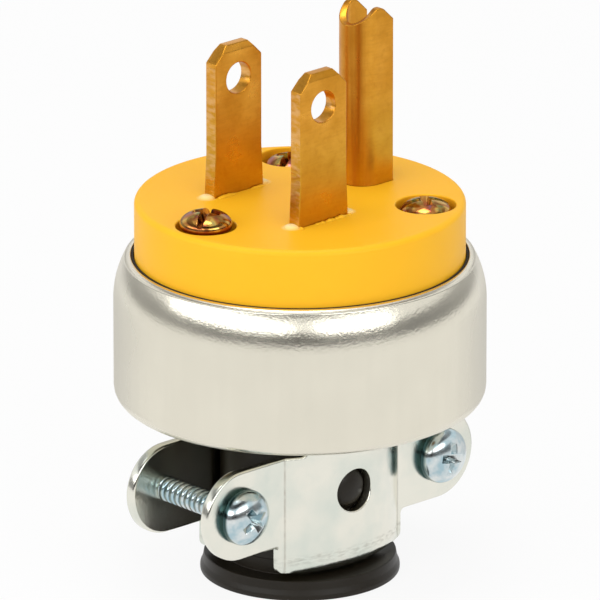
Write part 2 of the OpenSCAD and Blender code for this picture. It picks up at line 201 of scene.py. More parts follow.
def bake(piece):
    """Turns a piece and its modifiers into one plain mesh."""
    graph = bpy.context.evaluated_depsgraph_get()
    data = bpy.data.meshes.new_from_object(piece.evaluated_get(graph))
    piece.modifiers.clear()
    old, piece.data = piece.data, data
    bpy.data.meshes.remove(old)
    data.name = piece.name


def combine(piece, tool, operation):
    """Adds a tool to a piece or cuts it away; the tool is used up."""
    step = piece.modifiers.new("combine", "BOOLEAN")
    step.operation = operation
    step.object = tool
    step.solver = "EXACT"
    bake(piece)
    bpy.data.objects.remove(tool)


def soften(piece, width, steps=2):
    """Rounds the sharp edges of a piece and evens its shading; level faces are shaded quite flat."""
    if width:
        edge = piece.modifiers.new("edge", "BEVEL")
        edge.width = width
        edge.segments = steps
        edge.limit_method = "ANGLE"
        edge.angle_limit = math.radians(32)
    even = piece.modifiers.new("even", "WEIGHTED_NORMAL")
    even.mode = "FACE_AREA"
    even.weight = 50
    bake(piece)
    outward = [corner.vector.copy() for corner in piece.data.corner_normals]
    for face in piece.data.polygons:
        if abs(face.normal.z) > 0.99999:
            for i in face.loop_indices:
                outward[i] = face.normal.copy()
    piece.data.normals_split_custom_set(outward)


def add(tree, kind, sockets={}, **settings):
    """Adds a node and sets its properties and sockets. A socket given an output, or a node, is linked to it."""
    made = tree.nodes.new(kind)
    for name, value in settings.items():
        setattr(made, name, value)
    for name, value in sockets.items():
        if isinstance(value, bpy.types.Node):
            value = next(output for output in value.outputs if output.enabled)
        if isinstance(value, bpy.types.NodeSocket):
            tree.links.new(value, made.inputs[name])
        else:
            made.inputs[name].default_value = value
    return made


def new_material(name):
    """A material and its node tree, which is empty."""
    made = bpy.data.materials.new(name)
    made.use_nodes = True
    made.node_tree.nodes.clear()
    return made, made.node_tree


def colour(code):
    """Linear colour of an sRGB hex value."""
    parts = [int(code[i:i + 2], 16) / 255 for i in (1, 3, 5)]
    return [c / 12.92 if c <= 0.04045 else ((c + 0.055) / 1.055) ** 2.4 for c in parts] + [1]


insert_profile = rounded([
    (0, under_face_z, 0), (insert_r - rim_wall, under_face_z, 0.4 * mm),
    (insert_r - rim_wall, lip_z - rim_depth, 0.3 * mm), (insert_r, lip_z - rim_depth, 0.3 * mm),
    (insert_r, face_z, face_edge_r), (0, face_z, 0)])
face_insert = piece_from("face_insert", turned(insert_profile, steps=160))

pillars = [rod(pillar_r, pillar_foot_z, under_face_z + overlap, p) for p in face_screw_places]
barriers = [block((side * barrier_x - barrier_wall / 2, barrier_y, under_face_z - barrier_depth),
                  (side * barrier_x + barrier_wall / 2, pin_y, under_face_z + overlap)) for side in (-1, 1)]
combine(face_insert, piece_from("pillars and barriers", *pillars, *barriers), "UNION")

well_mouth = [(counterbore_r + well_edge * (1 - math.sin(math.radians(a))),
               face_z - well_edge * (1 - math.cos(math.radians(a)))) for a in range(90, -1, -15)]
well_profile = [(0, pillar_foot_z - past), (pillar_hole_r, pillar_foot_z - past), (pillar_hole_r, seat_z),
                (counterbore_r, seat_z), (counterbore_r, seat_z + 0.1 * mm), *well_mouth,
                (counterbore_r + well_edge, face_z + past), (0, face_z + past)]
screw_wells = [turned(well_profile, at=p, steps=64) for p in face_screw_places]
slot_half_y = blade_half_w + blade_flare + slot_gap
blade_slots = [block((side * blade_x - blade_thick / 2 - slot_gap, blade_y - slot_half_y, under_face_z - past),
                     (side * blade_x + blade_thick / 2 + slot_gap, blade_y + slot_half_y, face_z + past))
               for side in (-1, 1)]
combine(face_insert, piece_from("wells and slots", *screw_wells, *blade_slots), "DIFFERENCE")


def inset(loop, distance):
    """Closed loop of points moved to its left."""
    moved = []
    for before, here, after in zip(loop[-1:] + loop[:-1], loop, loop[1:] + loop[:1]):
        a, b = (here - before).normalized(), (after - here).normalized()
        moved.append(here + Vector((-a.y - b.y, a.x + b.x)) * (distance / (1 + a.dot(b))))
    return moved


def ring(x, y, radius, steps=40):
    """Hole in a sheet: a circle that runs clockwise."""
    return [Vector((x + radius * math.cos(math.tau * i / steps), y - radius * math.sin(math.tau * i / steps)))
            for i in range(steps)]


def sheet(loops, thick, cuts, bend):
    """Stamped sheet metal: a flat blank with rounded edges, cut across where it will bend, then bent.

    Each loop is (points, edge radius): first the outline, anticlockwise, then the holes, clockwise. A cut is
    ("u" or "v", value). bend turns a blank's (u, v, w) into a place in space, with w across the sheet."""
    mesh = bmesh.new()
    tops, feet = [], []
    for loop, edge in loops:
        turns = [math.radians(18 * k) for k in range(6)]
        levels = [(edge * (1 - math.cos(t)), thick / 2 - edge + edge * math.sin(t)) for t in turns]
        levels.append((edge * 1.5, thick / 2))
        levels = [(i, -w) for i, w in reversed(levels)] + levels
        rings = [[mesh.verts.new((p.x, p.y, w)) for p in inset(loop, i)] for i, w in levels]
        for low, high in zip(rings, rings[1:]):
            for i in range(len(loop)):
                mesh.faces.new((low[i - 1], low[i], high[i], high[i - 1]))
        tops.append(rings[-1])
        feet.append(rings[0])
    for ends in (tops, feet):
        corners = [v for end in ends for v in end]
        for triangle in tessellate_polygon([[v.co for v in end] for end in ends]):
            mesh.faces.new([corners[i] for i in triangle])
    for axis, value in cuts:
        across = Vector((1, 0, 0)) if axis == "u" else Vector((0, 1, 0))
        bmesh.ops.bisect_plane(mesh, geom=mesh.verts[:] + mesh.edges[:] + mesh.faces[:], dist=1e-8,
                               plane_co=across * value, plane_no=across)
    bmesh.ops.recalc_face_normals(mesh, faces=mesh.faces)
    mesh.normal_update()
    outward = mesh.verts.layers.float_vector.new("outward")
    near = 1e-6
    for v in mesh.verts:
        level = thick / 2 - abs(v.co.z) < 1e-8
        flat = Vector((0, 0, math.copysign(1, v.co.z))) if level else v.normal
        du, dv, dw = [bend(*(v.co + step)) - bend(*(v.co - step))
                      for step in (Vector((near, 0, 0)), Vector((0, near, 0)), Vector((0, 0, near)))]
        turned_out = flat.x * dv.cross(dw) + flat.y * dw.cross(du) + flat.z * du.cross(dv)
        v[outward] = (turned_out * math.copysign(1, du.cross(dv).dot(dw))).normalized()
        v.co = bend(*v.co)
    mesh.normal_update()
    bmesh.ops.recalc_face_normals(mesh, faces=mesh.faces)
    return mesh


def track(stretches, start, heading):
    """Path of straight and round stretches, each (length, turn). Gives the place and the left side at a run."""
    knots = []
    place, run = Vector(start), 0

    def ahead(angle, length, turn, share):
        if turn == 0:
            return Vector((math.cos(angle), math.sin(angle))) * (length * share)
        end = angle + turn * share
        return Vector((math.sin(end) - math.sin(angle), math.cos(angle) - math.cos(end))) * (length / turn)

    for length, turn in stretches:
        knots.append((run, length, turn, place, heading))
        place = place + ahead(heading, length, turn, 1)
        heading += turn
        run += length

    def at(s):
        begin, length, turn, origin, angle = [k for k in knots if k[0] <= s + 1e-9 or k is knots[0]][-1]
        share = (s - begin) / length
        end = angle + turn * share
        return origin + ahead(angle, length, turn, share), Vector((-math.sin(end), math.cos(end)))

    return at


# The pin's slot follows the U of its sheet, with a little room all round.
pin_mid_r = pin_r - pin_sheet / 2
pin_half_run = pin_leg + math.pi * pin_mid_r / 2
pin_track = track([(pin_leg, 0), (math.pi * pin_mid_r, -math.pi), (pin_leg, 0)],
                  (pin_mid_r, pin_y + pin_leg), -math.pi / 2)
pin_bends = [("u", pin_mid_r * math.radians(a)) for a in range(-90, 91, 6)]


def round_the_pin(u, v, w):
    """Bends a flat blank to the pin's U: u round the U, v up, w outwards."""
    spot, left = pin_track(u + pin_half_run)
    return Vector((spot.x + left.x * w, spot.y + left.y * w, v))


slot_reach = pin_half_run + slot_gap
slot_outline = [Vector(p) for p in ((-slot_reach, under_face_z - past), (slot_reach, under_face_z - past),
                                    (slot_reach, face_z + past), (-slot_reach, face_z + past))]
pin_slot = sheet([(slot_outline, 0.02 * mm)], pin_sheet + 2 * slot_gap, pin_bends, round_the_pin)
combine(face_insert, piece_from("pin slot", pin_slot), "DIFFERENCE")

# Where the blades were pressed in, a bead of plastic stands at each end of a slot, and a ragged lip of flash
# along its sides.
pressed_up = []
for x, y in [(side * blade_x, blade_y + end * (slot_half_y + 0.2 * mm)) for side in (-1, 1) for end in (-1, 1)]:
    bead = lens(slot_bead_r, slot_bead_h, 10, 32)
    bmesh.ops.translate(bead, vec=(x, y, face_z), verts=bead.verts)
    pressed_up.append(bead)
for edge_x, out in [(side * blade_x + out * (blade_thick / 2 + slot_gap + 0.03 * mm), out)
                    for side in (-1, 1) for out in (-1, 1)]:
    flash = bmesh.new()
    rows = []
    for k in range(flash_steps + 1):
        y = blade_y + slot_half_y * (2 * k / flash_steps - 1)
        rag = noise.fractal((edge_x / rag_size, y / rag_size, out), 0.8, 2.3, 3)
        rise = flash_h * min(1, max(0.06, 0.3 + rag))
        rows.append([flash.verts.new(spot) for spot in (
            (edge_x + out * (flash_w + rise), y, face_z - 0.05 * mm),
            (edge_x + out * flash_w * 0.5, y, face_z + rise),
            (edge_x, y, face_z + rise), (edge_x, y, face_z - 0.3 * mm))])
    for row, after in zip(rows, rows[1:]):
        for i in range(4):
            flash.faces.new((row[i - 1], row[i], after[i], after[i - 1]))
    flash.faces.new(rows[0])
    flash.faces.new(rows[-1])
    bmesh.ops.recalc_face_normals(flash, faces=flash.faces)
    pressed_up.append(flash)


def gather(name, pieces):
    """One object from several finished pieces."""
    joined = bmesh.new()
    for made in pieces:
        joined.from_mesh(made.data)
    data = bpy.data.meshes.new(name)
    joined.to_mesh(data)
    joined.free()
    for material in pieces[0].data.materials:
        data.materials.append(material)
    for made in pieces:
        bpy.data.objects.remove(made)
    made = bpy.data.objects.new(name, data)
    bpy.context.scene.collection.objects.link(made)
    soften(made, 0)
    return made


face_insert = gather("face_insert", [face_insert, piece_from("beads and flash", *pressed_up)])

# Moulded nylon: dense even yellow, half gloss, with a fine mould grain and slow flow waves. It is paler round
# the ends of the blades' slots.
nylon, tree = new_material("moulded yellow nylon")
place = add(tree, "ShaderNodeTexCoord").outputs["Object"]
flow = add(tree, "ShaderNodeTexNoise", {"Vector": place, "Scale": 1 / (11 * mm), "Detail": 2})
grain = add(tree, "ShaderNodeTexNoise", {"Vector": place, "Scale": 1 / (0.25 * mm), "Detail": 3})
tint = add(tree, "ShaderNodeMix", {"Factor": flow, 6: colour("#FFC024"), 7: colour("#FCB71C")}, data_type="RGBA")
axes = add(tree, "ShaderNodeSeparateXYZ", {"Vector": place}).outputs
from_axis = add(tree, "ShaderNodeMath", {0: axes["X"]}, operation="ABSOLUTE")
from_row = add(tree, "ShaderNodeMath", {0: axes["Y"], 1: blade_y}, operation="SUBTRACT")
from_row = add(tree, "ShaderNodeMath", {0: from_row}, operation="ABSOLUTE")
quarter = add(tree, "ShaderNodeCombineXYZ", {"X": from_axis, "Y": from_row, "Z": axes["Z"]})
slot_end = (blade_x, slot_half_y + 0.3 * mm, face_z)
to_end = add(tree, "ShaderNodeVectorMath", {0: quarter, 1: slot_end}, operation="DISTANCE")
pale = add(tree, "ShaderNodeMapRange", {"Value": to_end, "From Min": 1.1 * mm, "From Max": 0.5 * mm, "To Max": 0.7})
tint = add(tree, "ShaderNodeMix", {"Factor": pale, 6: tint, 7: colour("#FFEDB8")}, data_type="RGBA")
gloss = add(tree, "ShaderNodeMapRange", {"Value": grain, "To Min": 0.4, "To Max": 0.52})
waves = add(tree, "ShaderNodeBump", {"Height": flow, "Distance": 0.05 * mm, "Strength": 0.5})
relief = add(tree, "ShaderNodeBump", {"Height": grain, "Distance": 0.006 * mm, "Strength": 0.6, "Normal": waves})
shader = add(tree, "ShaderNodeBsdfPrincipled", {
    "Base Color": tint, "Roughness": gloss, "IOR": 1.5, "Specular IOR Level": 0.2, "Subsurface Weight": 0.12,
    "Subsurface Radius": (1, 0.55, 0.12), "Subsurface Scale": 0.7 * mm, "Normal": relief})
add(tree, "ShaderNodeOutputMaterial", {"Surface": shader})

face_insert.data.materials.append(nylon)
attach(face_insert, "root")
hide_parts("face_insert")


# Flat blades: two strips of brass, blanked with cut corners and a hole, coined thin at the tip,
# and bent square below the face into tabs for the terminal screws.

tip_z = blade_high.z
tab_end_x = blade_high.x
corner_cut = 1.7 * mm
coin_h = 0.7 * mm
coin_in = 0.25 * mm
detent_r = 1.65 * mm
detent_z = face_z + 12.2 * mm
tapped_r = 1.8 * mm
bend_r = blade_thick / 2 + 0.05 * mm
terminal_low, terminal_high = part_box("terminal_screw_hot")
terminal_x = (terminal_low.x + terminal_high.x) / 2

tab_z = under_face_z - blade_thick / 2
tab_run = tab_end_x - blade_x - bend_r
rise_run = tab_run + bend_r * math.pi / 2
blade_run = rise_run + tip_z - tab_z - bend_r
blade_track = track([(tab_run, 0), (bend_r * math.pi / 2, -math.pi / 2), (blade_run - rise_run, 0)],
                    (tab_end_x, tab_z), math.pi)


def shape_blade(u, v, w, side):
    """Bends a blade's blank: u across it, v from the tab's end to the tip, w through it."""
    coined = max(0, (v - blade_run + coin_h) / coin_h)
    w *= 1 - coined * 2 * coin_in / blade_thick
    spot, left = blade_track(v)
    return Vector(((spot.x + left.x * w) * side, blade_y + u, spot.y + left.y * w))


def up_blade(z):
    """Run along the blank at a height on the blade."""
    return rise_run + z - tab_z - bend_r


flared = blade_half_w + blade_flare
half_blade = [(blade_half_w, 0, 0.8 * mm), (blade_half_w, up_blade(under_face_z), 0.3 * mm),
              (flared, up_blade(under_face_z) + 1 * mm, 0.3 * mm), (flared, up_blade(face_z) + 0.3 * mm, 2 * mm),
              (blade_half_w, up_blade(face_z) + 4.5 * mm, 2 * mm),
              (blade_half_w, blade_run - corner_cut, 0.2 * mm), (blade_half_w - corner_cut, blade_run, 0.2 * mm)]
blade_outline = rounded(half_blade + [(-u, v, r) for u, v, r in reversed(half_blade)])
blade_loops = [(blade_outline, 0.13 * mm), (ring(0, up_blade(detent_z), detent_r), 0.12 * mm),
               (ring(0, tab_end_x - terminal_x, tapped_r), 0.1 * mm)]
blade_cuts = [("v", tab_run + bend_r * math.radians(a)) for a in range(0, 91, 15)]
blade_cuts += [("v", blade_run - coin_h + step * mm) for step in (-0.06, 0, 0.06)]
blades = {}
for node, side in (("blade_hot", 1), ("blade_neutral", -1)):
    blank = sheet(blade_loops, blade_thick, blade_cuts, lambda u, v, w: shape_blade(u, v, w, side))
    blades[node] = piece_from(node, blank)

# Rolled brass: warm gold with fine cross marks and duller rubbed patches, greener near the face as a painted
# reflection of the yellow face.
# The die has left ridges on the blades' narrow edges, which a painted highlight tints pale, and painted shade
# darkens the pin's nose in upright lines.
brass, tree = new_material("rolled brass")
place = add(tree, "ShaderNodeTexCoord").outputs["Object"]
axes = add(tree, "ShaderNodeSeparateXYZ", {"Vector": place}).outputs
facing = add(tree, "ShaderNodeNewGeometry").outputs["Normal"]
sideways = add(tree, "ShaderNodeSeparateXYZ", {"Vector": facing}).outputs["Y"]
sideways = add(tree, "ShaderNodeMath", {0: sideways}, operation="ABSOLUTE")
on_pin = add(tree, "ShaderNodeMapRange", {"Value": axes["Y"], "From Min": 2 * mm, "From Max": 3 * mm})
rubbed = add(tree, "ShaderNodeTexNoise", {"Vector": place, "Scale": 1 / (3 * mm), "Detail": 5})
patches = add(tree, "ShaderNodeMapRange", {"Value": rubbed, "From Min": 0.35, "From Max": 0.65})
tint = add(tree, "ShaderNodeMix", {"Factor": patches, 6: colour("#E4A23C"), 7: colour("#D4922C")}, data_type="RGBA")
# Painted reflection: greener and yellower towards the face, standing for the yellow face seen in the brass.
low = add(tree, "ShaderNodeMapRange", {"Value": axes["Z"], "From Min": face_z + 11 * mm, "From Max": face_z,
                                        "To Max": 0.75})
across = add(tree, "ShaderNodeMapping", {"Vector": place, "Scale": (0.15, 0.15, 1)})
marks = add(tree, "ShaderNodeTexNoise", {"Vector": across, "Scale": 1 / (0.25 * mm), "Detail": 2})
worn = add(tree, "ShaderNodeMapRange", {"Value": marks, "From Min": 0.4, "From Max": 0.7, "To Max": 0.2})
spots = add(tree, "ShaderNodeTexNoise", {"Vector": place, "Scale": 1 / (0.6 * mm), "Detail": 3})
pits = add(tree, "ShaderNodeMapRange", {"Value": spots, "From Min": 0.5, "From Max": 0.75, "To Max": 0.25})
edge = add(tree, "ShaderNodeMapRange", {"Value": sideways, "From Min": 0.7, "From Max": 0.95})
edge = add(tree, "ShaderNodeMath", {0: edge, 1: on_pin}, operation="SUBTRACT", use_clamp=True)
torn = add(tree, "ShaderNodeMapping", {"Vector": place, "Scale": (0.4, 0.4, 1)})
torn = add(tree, "ShaderNodeTexNoise", {"Vector": torn, "Scale": 1 / (0.4 * mm), "Detail": 3})
ridges = add(tree, "ShaderNodeMath", {0: torn, 1: edge}, operation="MULTIPLY")
# Painted highlight: the narrow edges are tinted pale along the die's ridges.
edge_ridges_and_highlight = add(tree, "ShaderNodeMapRange", {"Value": ridges, "From Min": 0.42, "From Max": 0.65, "To Max": 0.45})
# Painted shade: dark upright lines on the pin's curved nose.
nose = add(tree, "ShaderNodeMapRange", {"Value": sideways, "From Min": 0.15, "From Max": 0.5})
nose = add(tree, "ShaderNodeMath", {0: nose, 1: on_pin}, operation="MULTIPLY")
upright = add(tree, "ShaderNodeMapping", {"Vector": place, "Scale": (1, 1, 0.03)})
lines = add(tree, "ShaderNodeTexNoise", {"Vector": upright, "Scale": 1 / (1.1 * mm), "Detail": 2})
lines = add(tree, "ShaderNodeMapRange", {"Value": lines, "From Min": 0.36, "From Max": 0.66})
painted_nose_shade = add(tree, "ShaderNodeMath", {0: lines, 1: nose}, operation="MULTIPLY")
for share, code in ((low, "#C6A030"), (worn, "#BC7F28"), (pits, "#B4721E"), (edge_ridges_and_highlight, "#F2C48A"),
                    (painted_nose_shade, "#AE6E1E")):
    tint = add(tree, "ShaderNodeMix", {"Factor": share, 6: tint, 7: colour(code)}, data_type="RGBA")
gloss = add(tree, "ShaderNodeMapRange", {"Value": rubbed, "From Min": 0.3, "From Max": 0.7,
                                          "To Min": 0.25, "To Max": 0.38})
relief = add(tree, "ShaderNodeBump", {"Height": marks, "Distance": 0.012 * mm, "Strength": 0.6})
relief = add(tree, "ShaderNodeBump", {"Height": ridges, "Distance": 0.1 * mm, "Strength": 0.5, "Normal": relief})
shader = add(tree, "ShaderNodeBsdfPrincipled", {
    "Base Color": tint, "Metallic": 1, "Roughness": gloss, "Normal": relief})
add(tree, "ShaderNodeOutputMaterial", {"Surface": shader})

for node, blade in blades.items():
    blade.data.materials.append(brass)
    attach(blade, "root")
    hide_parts(node)


# Ground pin: brass sheet folded to a U, its round nose towards the blades and its end cut to a peak.
# A strap at its foot runs under the face to the ground terminal.

peak_z = pin_high.z
tip_r = 1 * mm
peak_back = 0.3 * mm
nose_drop = 2.05 * mm
leg_drop = 1.45 * mm
strap_end_y = pin_low.y
ground_low, ground_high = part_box("terminal_screw_ground")
ground_terminal_y = (ground_low.y + ground_high.y) / 2


def tip_drop(y):
    """How far the pin's end falls from its peak, at a distance behind the centre of its nose."""
    side, end = (1, Vector((pin_leg - peak_back, tip_r - leg_drop)))
    if y < peak_back:
        side, end = (-1, Vector((-pin_r - peak_back, tip_r - nose_drop)))
    angle = math.atan2(end.y, end.x) + side * math.acos(tip_r / end.length)
    touch = Vector((math.cos(angle), math.sin(angle))) * tip_r
    run = y - peak_back
    if abs(run) < abs(touch.x):
        return tip_r - math.sqrt(tip_r ** 2 - run ** 2)
    return tip_r - touch.y - (end.y - touch.y) * (run - touch.x) / (end.x - touch.x)


pin_foot_z = under_face_z - pin_sheet
end_runs = [pin_half_run * (1 - k / 40) for k in range(81)]
pin_outline = [Vector((-pin_half_run, pin_foot_z)), Vector((pin_half_run, pin_foot_z))]
pin_outline += [Vector((u, peak_z - tip_drop(pin_track(u + pin_half_run)[0].y - pin_y))) for u in end_runs]
folded = sheet([(pin_outline, 0.12 * mm)], pin_sheet, pin_bends, round_the_pin)
strap_outline = rounded([(-pin_r, strap_end_y, 0.8 * mm), (pin_r, strap_end_y, 0.8 * mm),
                         (pin_r, pin_y, 0.2 * mm), (-pin_r, pin_y, 0.2 * mm)])
strap = sheet([(strap_outline, 0.1 * mm), (ring(0, ground_terminal_y, tapped_r), 0.1 * mm)], pin_sheet, [],
              lambda u, v, w: Vector((u, v, pin_foot_z + pin_sheet / 2 + w)))
ground_pin = piece_from("ground_pin", folded, strap)
ground_pin.data.materials.append(brass)
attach(ground_pin, "root")
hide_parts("ground_pin")


# Terminal screws: short pan-head screws under the tabs, with their heads down, that clamp the wires.
# The hot one is plain brass, the neutral one nickel-plated and the ground one lacquered green.

slot_w = 1.1 * mm
slot_depth = 1.15 * mm
cross_l = 3.6 * mm
head_edge_h = 0.6 * mm

thread_tree = bpy.data.node_groups.new("screw thread", "GeometryNodeTree")
for socket, kind in (("Head and core", "NodeSocketGeometry"), ("Core radius", "NodeSocketFloat"),
                     ("Thread depth", "NodeSocketFloat"), ("Pitch", "NodeSocketFloat"),
                     ("Length", "NodeSocketFloat"), ("Finish", "NodeSocketMaterial")):
    thread_tree.interface.new_socket(socket, in_out="INPUT", socket_type=kind)
thread_tree.interface.new_socket("Screw", in_out="OUTPUT", socket_type="NodeSocketGeometry")
given = add(thread_tree, "NodeGroupInput").outputs
turns = add(thread_tree, "ShaderNodeMath", {0: given["Length"], 1: given["Pitch"]}, operation="DIVIDE")
helix = add(thread_tree, "GeometryNodeCurveSpiral", {
    "Resolution": 32, "Rotations": turns, "Start Radius": given["Core radius"], "End Radius": given["Core radius"],
    "Height": given["Length"]})
upright = add(thread_tree, "GeometryNodeSetCurveNormal", {"Curve": helix}, mode="Z_UP")
root_half = add(thread_tree, "ShaderNodeMath", {0: given["Pitch"], 1: 0.46}, operation="MULTIPLY")
crest_half = add(thread_tree, "ShaderNodeMath", {0: given["Pitch"], 1: 0.1}, operation="MULTIPLY")
sunk = add(thread_tree, "ShaderNodeMath", {0: given["Thread depth"], 1: -0.2}, operation="MULTIPLY")
profile = add(thread_tree, "GeometryNodeCurvePrimitiveQuadrilateral", mode="POINTS")
for number, (out, along, sign) in enumerate(((sunk, root_half, -1), (given["Thread depth"], crest_half, -1),
                                             (given["Thread depth"], crest_half, 1), (sunk, root_half, 1))):
    signed = add(thread_tree, "ShaderNodeMath", {0: along, 1: sign}, operation="MULTIPLY")
    corner = add(thread_tree, "ShaderNodeCombineXYZ", {"X": out, "Y": signed})
    thread_tree.links.new(corner.outputs[0], profile.inputs[f"Point {number + 1}"])
along = add(thread_tree, "GeometryNodeSplineParameter").outputs["Factor"]
start = add(thread_tree, "ShaderNodeMapRange", {"Value": along, "From Min": 0, "From Max": 0.06})
ridge = add(thread_tree, "GeometryNodeCurveToMesh", {"Curve": upright, "Profile Curve": profile,
                                                     "Scale": start, "Fill Caps": True})
smooth = add(thread_tree, "GeometryNodeSetShadeSmooth", {"Geometry": ridge})
down = add(thread_tree, "ShaderNodeMath", {0: given["Length"], 1: -1}, operation="MULTIPLY")
foot = add(thread_tree, "ShaderNodeCombineXYZ", {"Z": down})
hung = add(thread_tree, "GeometryNodeTransform", {"Geometry": smooth, "Translation": foot})
both = add(thread_tree, "GeometryNodeJoinGeometry")
thread_tree.links.new(hung.outputs[0], both.inputs[0])
thread_tree.links.new(given["Head and core"], both.inputs[0])
real = add(thread_tree, "GeometryNodeRealizeInstances", {"Geometry": both})
dressed = add(thread_tree, "GeometryNodeSetMaterial", {"Geometry": real, "Material": given["Finish"]})
add(thread_tree, "NodeGroupOutput", {"Screw": dressed})


def screw(thread_d, pitch, length, head_d, head_h, slot_l, foot, place, finish):
    """Pan-head machine screw: a turned head with a slot and a cross, and a rolled thread.

    foot is the share of the slot's length and width left at its floor, and place puts the screw's seat."""
    depth = 0.5 * pitch
    core_r = thread_d / 2 - depth
    head_r = head_d / 2
    dome = [(head_r * math.cos(math.radians(a)), head_edge_h + (head_h - head_edge_h) * math.sin(math.radians(a)), 0)
            for a in range(0, 91, 6)]
    made = piece_from("screw", turned(rounded([
        (0, -length, 0), (core_r - 0.3 * mm, -length, 0), (core_r, -length + 0.3 * mm, 0), (core_r, 0, 0.08 * mm),
        (head_r - 0.25 * mm, 0, 0.08 * mm), (head_r, 0.3 * mm, 0.15 * mm)] + dome), steps=72))
    floor = head_h - slot_depth
    for name, long, wide, deep, taper in (("slot", slot_l, slot_w, floor, foot),
                                          ("cross", slot_w, cross_l, floor - 0.3 * mm, (foot[1], foot[1]))):
        cutter = block((-long / 2, -wide / 2, deep), (long / 2, wide / 2, head_h + 0.3 * mm), taper)
        combine(made, piece_from(name, cutter), "DIFFERENCE")
    soften(made, 0.07 * mm)
    thread = made.modifiers.new("thread", "NODES")
    thread.node_group = thread_tree
    sockets = {item.name: item.identifier for item in thread_tree.interface.items_tree if item.in_out == "INPUT"}
    for name, value in (("Core radius", core_r), ("Thread depth", depth), ("Pitch", pitch),
                        ("Length", length - 0.2 * mm), ("Finish", finish)):
        thread[sockets[name]] = value
    bake(made)
    made.data.transform(place)
    return made


def clouded(name, size, detail, tints, gloss, rest):
    """Plain finish whose tint and gloss drift in clouds of a size; rest sets the shader's other sockets."""
    made, tree = new_material(name)
    place = add(tree, "ShaderNodeTexCoord").outputs["Object"]
    cloud = add(tree, "ShaderNodeTexNoise", {"Vector": place, "Scale": 1 / size, "Detail": detail})
    rough = add(tree, "ShaderNodeMapRange", {"Value": cloud, "To Min": gloss[0], "To Max": gloss[1]})
    tint = add(tree, "ShaderNodeMix", {"Factor": cloud, 6: colour(tints[0]), 7: colour(tints[1])}, data_type="RGBA")
    shader = add(tree, "ShaderNodeBsdfPrincipled", {"Base Color": tint, "Roughness": rough, **rest})
    add(tree, "ShaderNodeOutputMaterial", {"Surface": shader})
    return made


# Nickel plate: bright and a little warm. Green lacquer: thin glossy paint over the same screw.
nickel = clouded("nickel plate", 1.2 * mm, 3, ("#D8D2C6", "#C6C0B4"), (0.14, 0.28), {"Metallic": 1})
lacquer = clouded("green lacquer on steel", 0.9 * mm, 3, ("#1F7A3C", "#2B8A48"), (0.22, 0.36), {"IOR": 1.5})

terminal_d = 3.5 * mm
terminal_head_d = 6.2 * mm
terminal_head_h = 2 * mm
terminal_pitch = 0.8 * mm
for node, sheet_under, finish, slot in (("terminal_screw_hot", blade_thick, brass, "brass"),
                                        ("terminal_screw_neutral", blade_thick, nickel, "nickel_plate"),
                                        ("terminal_screw_ground", pin_sheet, lacquer, "green_lacquer")):
    low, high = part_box(node)
    seat = Vector(((low.x + high.x) / 2, (low.y + high.y) / 2, under_face_z - sheet_under))
    length = high.z - seat.z
    terminal = screw(terminal_d, terminal_pitch, length, terminal_head_d, terminal_head_h, 2 * terminal_head_d,
                     (1, 0.7), Matrix.Translation(seat) @ Matrix.Rotation(math.pi, 4, "X"), finish)
    terminal.name = terminal.data.name = node
    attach(terminal, "root")
    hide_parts(node)


# Shell: a cup drawn from steel sheet, with a rounded shoulder and an open lip, plated with zinc.
# Its floor has a hole for the clamp's necks and three tapped collars for the face screws.

shell_low, shell_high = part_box("armor_shell")
shell_r = min(shell_high.x, shell_high.y)
floor_z = shell_low.z
shell_sheet = 0.8 * mm
lip_r = insert_r + 0.35 * mm
lip_edge = 0.5 * mm
shoulder_r = 9 * mm
corner_r = 1.8 * mm
floor_hole_r = 9.49 * mm
collar_r = 2.7 * mm
collar_hole_r = 1.8 * mm
collar_top_z = pillar_foot_z

shoulder_out = shell_r - lip_r - lip_edge
shoulder_end = math.acos(1 - shoulder_out / shoulder_r)
shoulder_z = lip_z - shoulder_r * math.sin(shoulder_end)


def shoulder(radius, steps=20):
    """Points up the shoulder's arc, or its inside, from the wall to the lip."""
    return [(shell_r - shoulder_r + radius * math.cos(shoulder_end * k / steps),
             shoulder_z + radius * math.sin(shoulder_end * k / steps), 0) for k in range(steps + 1)]


inside_r = shell_r - shell_sheet
inner_arc = [(x, z, 0) for x, z, _ in shoulder(shoulder_r - shell_sheet)
             if x > lip_r + 0.05 * mm and z < lip_z - shell_sheet]
shell_profile = rounded([
    (floor_hole_r, floor_z, 0.2 * mm), (shell_r, floor_z, corner_r), *shoulder(shoulder_r)[:-1],
    (lip_r + lip_edge, lip_z, 0.55 * mm), (lip_r, lip_z, 0.12 * mm), (lip_r, lip_z - shell_sheet, 0.1 * mm),
    *reversed(inner_arc), (inside_r, floor_z + shell_sheet, corner_r - shell_sheet),
    (floor_hole_r, floor_z + shell_sheet, 0.2 * mm)])
armor_shell = piece_from("armor_shell", turned(shell_profile, steps=192))
collars = [rod(collar_r, floor_z + 0.2 * mm, collar_top_z, p) for p in face_screw_places]
combine(armor_shell, piece_from("collars", *collars), "UNION")
taps = [rod(collar_hole_r, floor_z - past, collar_top_z + past, p) for p in face_screw_places]
combine(armor_shell, piece_from("taps", *taps), "DIFFERENCE")
soften(armor_shell, 0.1 * mm)

